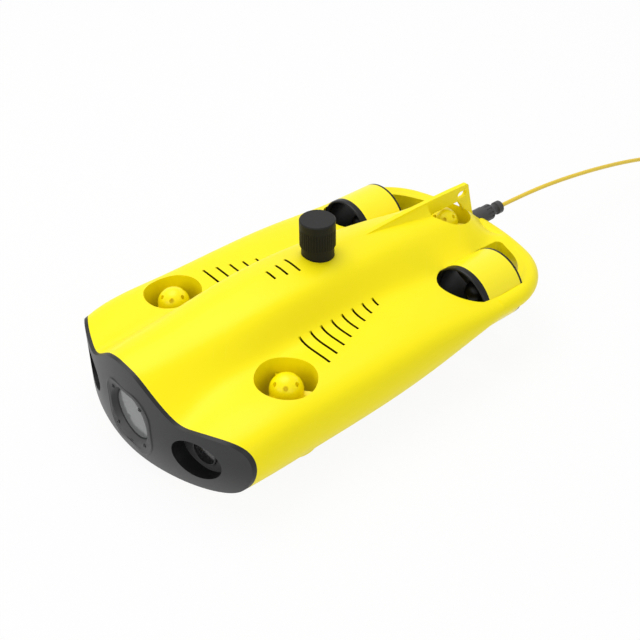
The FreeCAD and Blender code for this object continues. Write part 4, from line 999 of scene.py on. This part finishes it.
for side in ("port", "starboard"):
    lens, outward = lamp_axis(side)
    across = Vector((0, 0, 1)).cross(outward)
    for number, offset in enumerate((-EMITTER_SPREAD, EMITTER_SPREAD)):
        place = lens + across * offset * MM - outward * BOWL_BEHIND * MM
        ending = "%s_%d" % (side, number + 1)
        fit_out(lathe("lamp_bowl_" + ending, bowl_profile, place, outward, steps=40),
                bowl_metal)
        fit_out(lathe("lamp_chip_" + ending, dome_profile(1.3, 0.5),
                      place + outward * CHIP_ABOVE * MM, outward, steps=32, closed=False),
                phosphor)
    fit_out(lathe("lamp_rim_" + side, rim_profile, lens + outward * RIM_AHEAD * MM, outward),
            foot_rubber)
print("lamp pieces: 5 a side")

# %% [markdown]
# ### Socket head screws
#
# A screw head has a hexagonal socket, a chamfer at its edge and a flat face. The frame's
# screws are plain cylinders, so each group of them is replaced by heads with sockets. The
# socket is a ring of six corners that drops below the face; the corners between the round
# edge and the hexagon are joined as one band.

# %% Screw heads
HEAD_STEPS = 24
HEAD_CHAMFER = 0.25
SOCKET_CHAMFER = (0.12, 0.15)      # width and depth
SOCKET_SHARE = 0.55                # depth of the socket as a share of the head
FACE_PROUD = 0.12                  # how far the retainer's screws stand out from its face


def socket_head(bm, centre, axis, radius, depth, hexagon):
    """Add one screw head to a mesh; its face is at centre, and axis points outward."""
    turn = Vector((0, 0, 1)).rotation_difference(Vector(axis).normalized()).to_matrix()

    def ring(r, h, six=False):
        corners = []
        for i in range(HEAD_STEPS):
            angle = 2 * math.pi * i / HEAD_STEPS
            reach = r
            if six:
                within = (angle % (math.pi / 3)) - math.pi / 6
                reach = r * math.cos(math.pi / 6) / math.cos(within)
            spot = Vector((reach * math.cos(angle), reach * math.sin(angle), h)) * MM
            corners.append(bm.verts.new(centre + turn @ spot))
        return corners

    wide, deep = SOCKET_CHAMFER
    rings = [ring(radius, -depth), ring(radius, -HEAD_CHAMFER), ring(radius - HEAD_CHAMFER, 0),
             ring(hexagon + wide, 0, True), ring(hexagon, -deep, True),
             ring(hexagon, -SOCKET_SHARE * depth, True)]
    bridge(bm, rings)
    bm.faces.new(rings[0])
    bm.faces.new(rings[-1])


def loose_parts(name):
    """Boxes of the separate solids of a CAD piece."""
    bm = bmesh.new()
    bm.from_mesh(nodes[name].data)
    bmesh.ops.remove_doubles(bm, verts=bm.verts, dist=1e-6)
    boxes = []
    left = set(bm.verts)
    while left:
        stack = [left.pop()]
        part = []
        while stack:
            vert = stack.pop()
            part.append(vert.co.copy())
            for edge in vert.link_edges:
                other = edge.other_vert(vert)
                if other in left:
                    left.remove(other)
                    stack.append(other)
        boxes.append((Vector(map(min, zip(*part))), Vector(map(max, zip(*part)))))
    bm.free()
    return sorted(boxes, key=lambda pair: tuple(pair[0]))


def screw_set(name, node, axis, hexagon, metal, face_at=None):
    """Socket heads for every screw of a CAD piece; face_at gives the place of a face along Y."""
    bm = bmesh.new()
    for low, high in loose_parts(node):
        face = (low + high) / 2
        size = high - low
        if axis[1]:
            face.y = face_at(face.x)
            radius, depth = min(size.x, size.z) / 2 / MM, size.y / MM
        else:
            face.z = low.z
            radius, depth = min(size.x, size.y) / 2 / MM, size.z / MM
        socket_head(bm, face, axis, radius, depth, hexagon)
    piece = mesh_object(name, bm, smooth=False)
    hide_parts(node)
    return fit_out(piece, metal)


screw_set("retainer_screws", "window_screws", OUTWARD, 0.8, black_steel,
          face_at=lambda x: (nose_face(x / MM) - FACE_PROUD) * MM)
screw_set("shell_screws", "hull_screws", (0, 0, -1), 1.4, steel)
print("screw sets: 2")

# %% [markdown]
# ## Stage and light
#
# A white floor with a soft shadow, a broad lamp from above, two weaker ones and a pale world
# give an even studio light. The floor is seen as nearly white because its material answers
# camera, glossy and transmission rays mostly with white; its diffuse share keeps the
# object's shadow. No extra light is spent on the background.

# %% Floor
FLOOR_HALF = 6.0           # metres
FLOOR_BELOW = 0.0002       # keeps the floor clear of the feet
FLOOR_WHITE = 0.93         # share of white in what the camera sees of the floor


def seen_directly(tree):
    """1 for rays that show the background: camera, glossy and transmission rays."""
    rays = tree.nodes.new("ShaderNodeLightPath").outputs
    seen = value_of(tree, "MAXIMUM", rays["Is Camera Ray"], rays["Is Glossy Ray"])
    return value_of(tree, "MAXIMUM", seen, rays["Is Transmission Ray"])


def floor_material():
    material = bpy.data.materials.new("studio floor")
    material.use_nodes = True
    tree = material.node_tree
    shader = tree.nodes["Principled BSDF"]
    shader.inputs["Base Color"].default_value = (0.82, 0.82, 0.82, 1)
    shader.inputs["Roughness"].default_value = 0.9
    shader.inputs["Specular IOR Level"].default_value = 0.1
    glow = add(tree, "Emission", {"Color": (1, 1, 1, 1), "Strength": 1.0})
    share = value_of(tree, "MULTIPLY", seen_directly(tree), FLOOR_WHITE)
    mixed = tree.nodes.new("ShaderNodeMixShader")
    tree.links.new(share, mixed.inputs[0])
    tree.links.new(shader.outputs[0], mixed.inputs[1])
    tree.links.new(glow.outputs[0], mixed.inputs[2])
    tree.links.new(mixed.outputs[0], tree.nodes["Material Output"].inputs["Surface"])
    return material


def make_floor():
    bm = bmesh.new()
    bmesh.ops.create_grid(bm, x_segments=8, y_segments=8, size=FLOOR_HALF)
    floor = mesh_object("studio_floor", bm)
    floor.location.z = -FLOOR_BELOW
    floor.data.materials.append(floor_material())


make_floor()
print("floor placed")

# %% Lights
WORLD_LIGHT = 0.55


def area_light(name, place, target, size, power):
    """A round lamp that faces a target."""
    data = bpy.data.lights.new(name, "AREA")
    data.shape = "DISK"
    data.size = size
    data.energy = power
    light = bpy.data.objects.new(name, data)
    bpy.context.scene.collection.objects.link(light)
    light.location = place
    light.rotation_euler = (Vector(target) - Vector(place)).to_track_quat("-Z", "Y").to_euler()


area_light("key", (-0.45, 0.05, 1.5), (0, 0.05, 0.05), 1.3, 13.8)
area_light("side", (1.5, -0.4, 0.7), (0, 0, 0.05), 1.0, 3.0)
area_light("front", (0.1, -1.5, 0.6), (0, -0.1, 0.05), 1.0, 4.5)

world = bpy.data.worlds.new("studio")
bpy.context.scene.world = world
world.use_nodes = True
backdrop = world.node_tree.nodes["Background"]
backdrop.inputs["Color"].default_value = (1, 1, 1, 1)
world_strength = add(world.node_tree, "MapRange", {"Value": seen_directly(world.node_tree),
                                                   "To Min": WORLD_LIGHT, "To Max": 1.0})
world.node_tree.links.new(world_strength.outputs[0], backdrop.inputs["Strength"])
bpy.context.scene.view_settings.view_transform = "Standard"
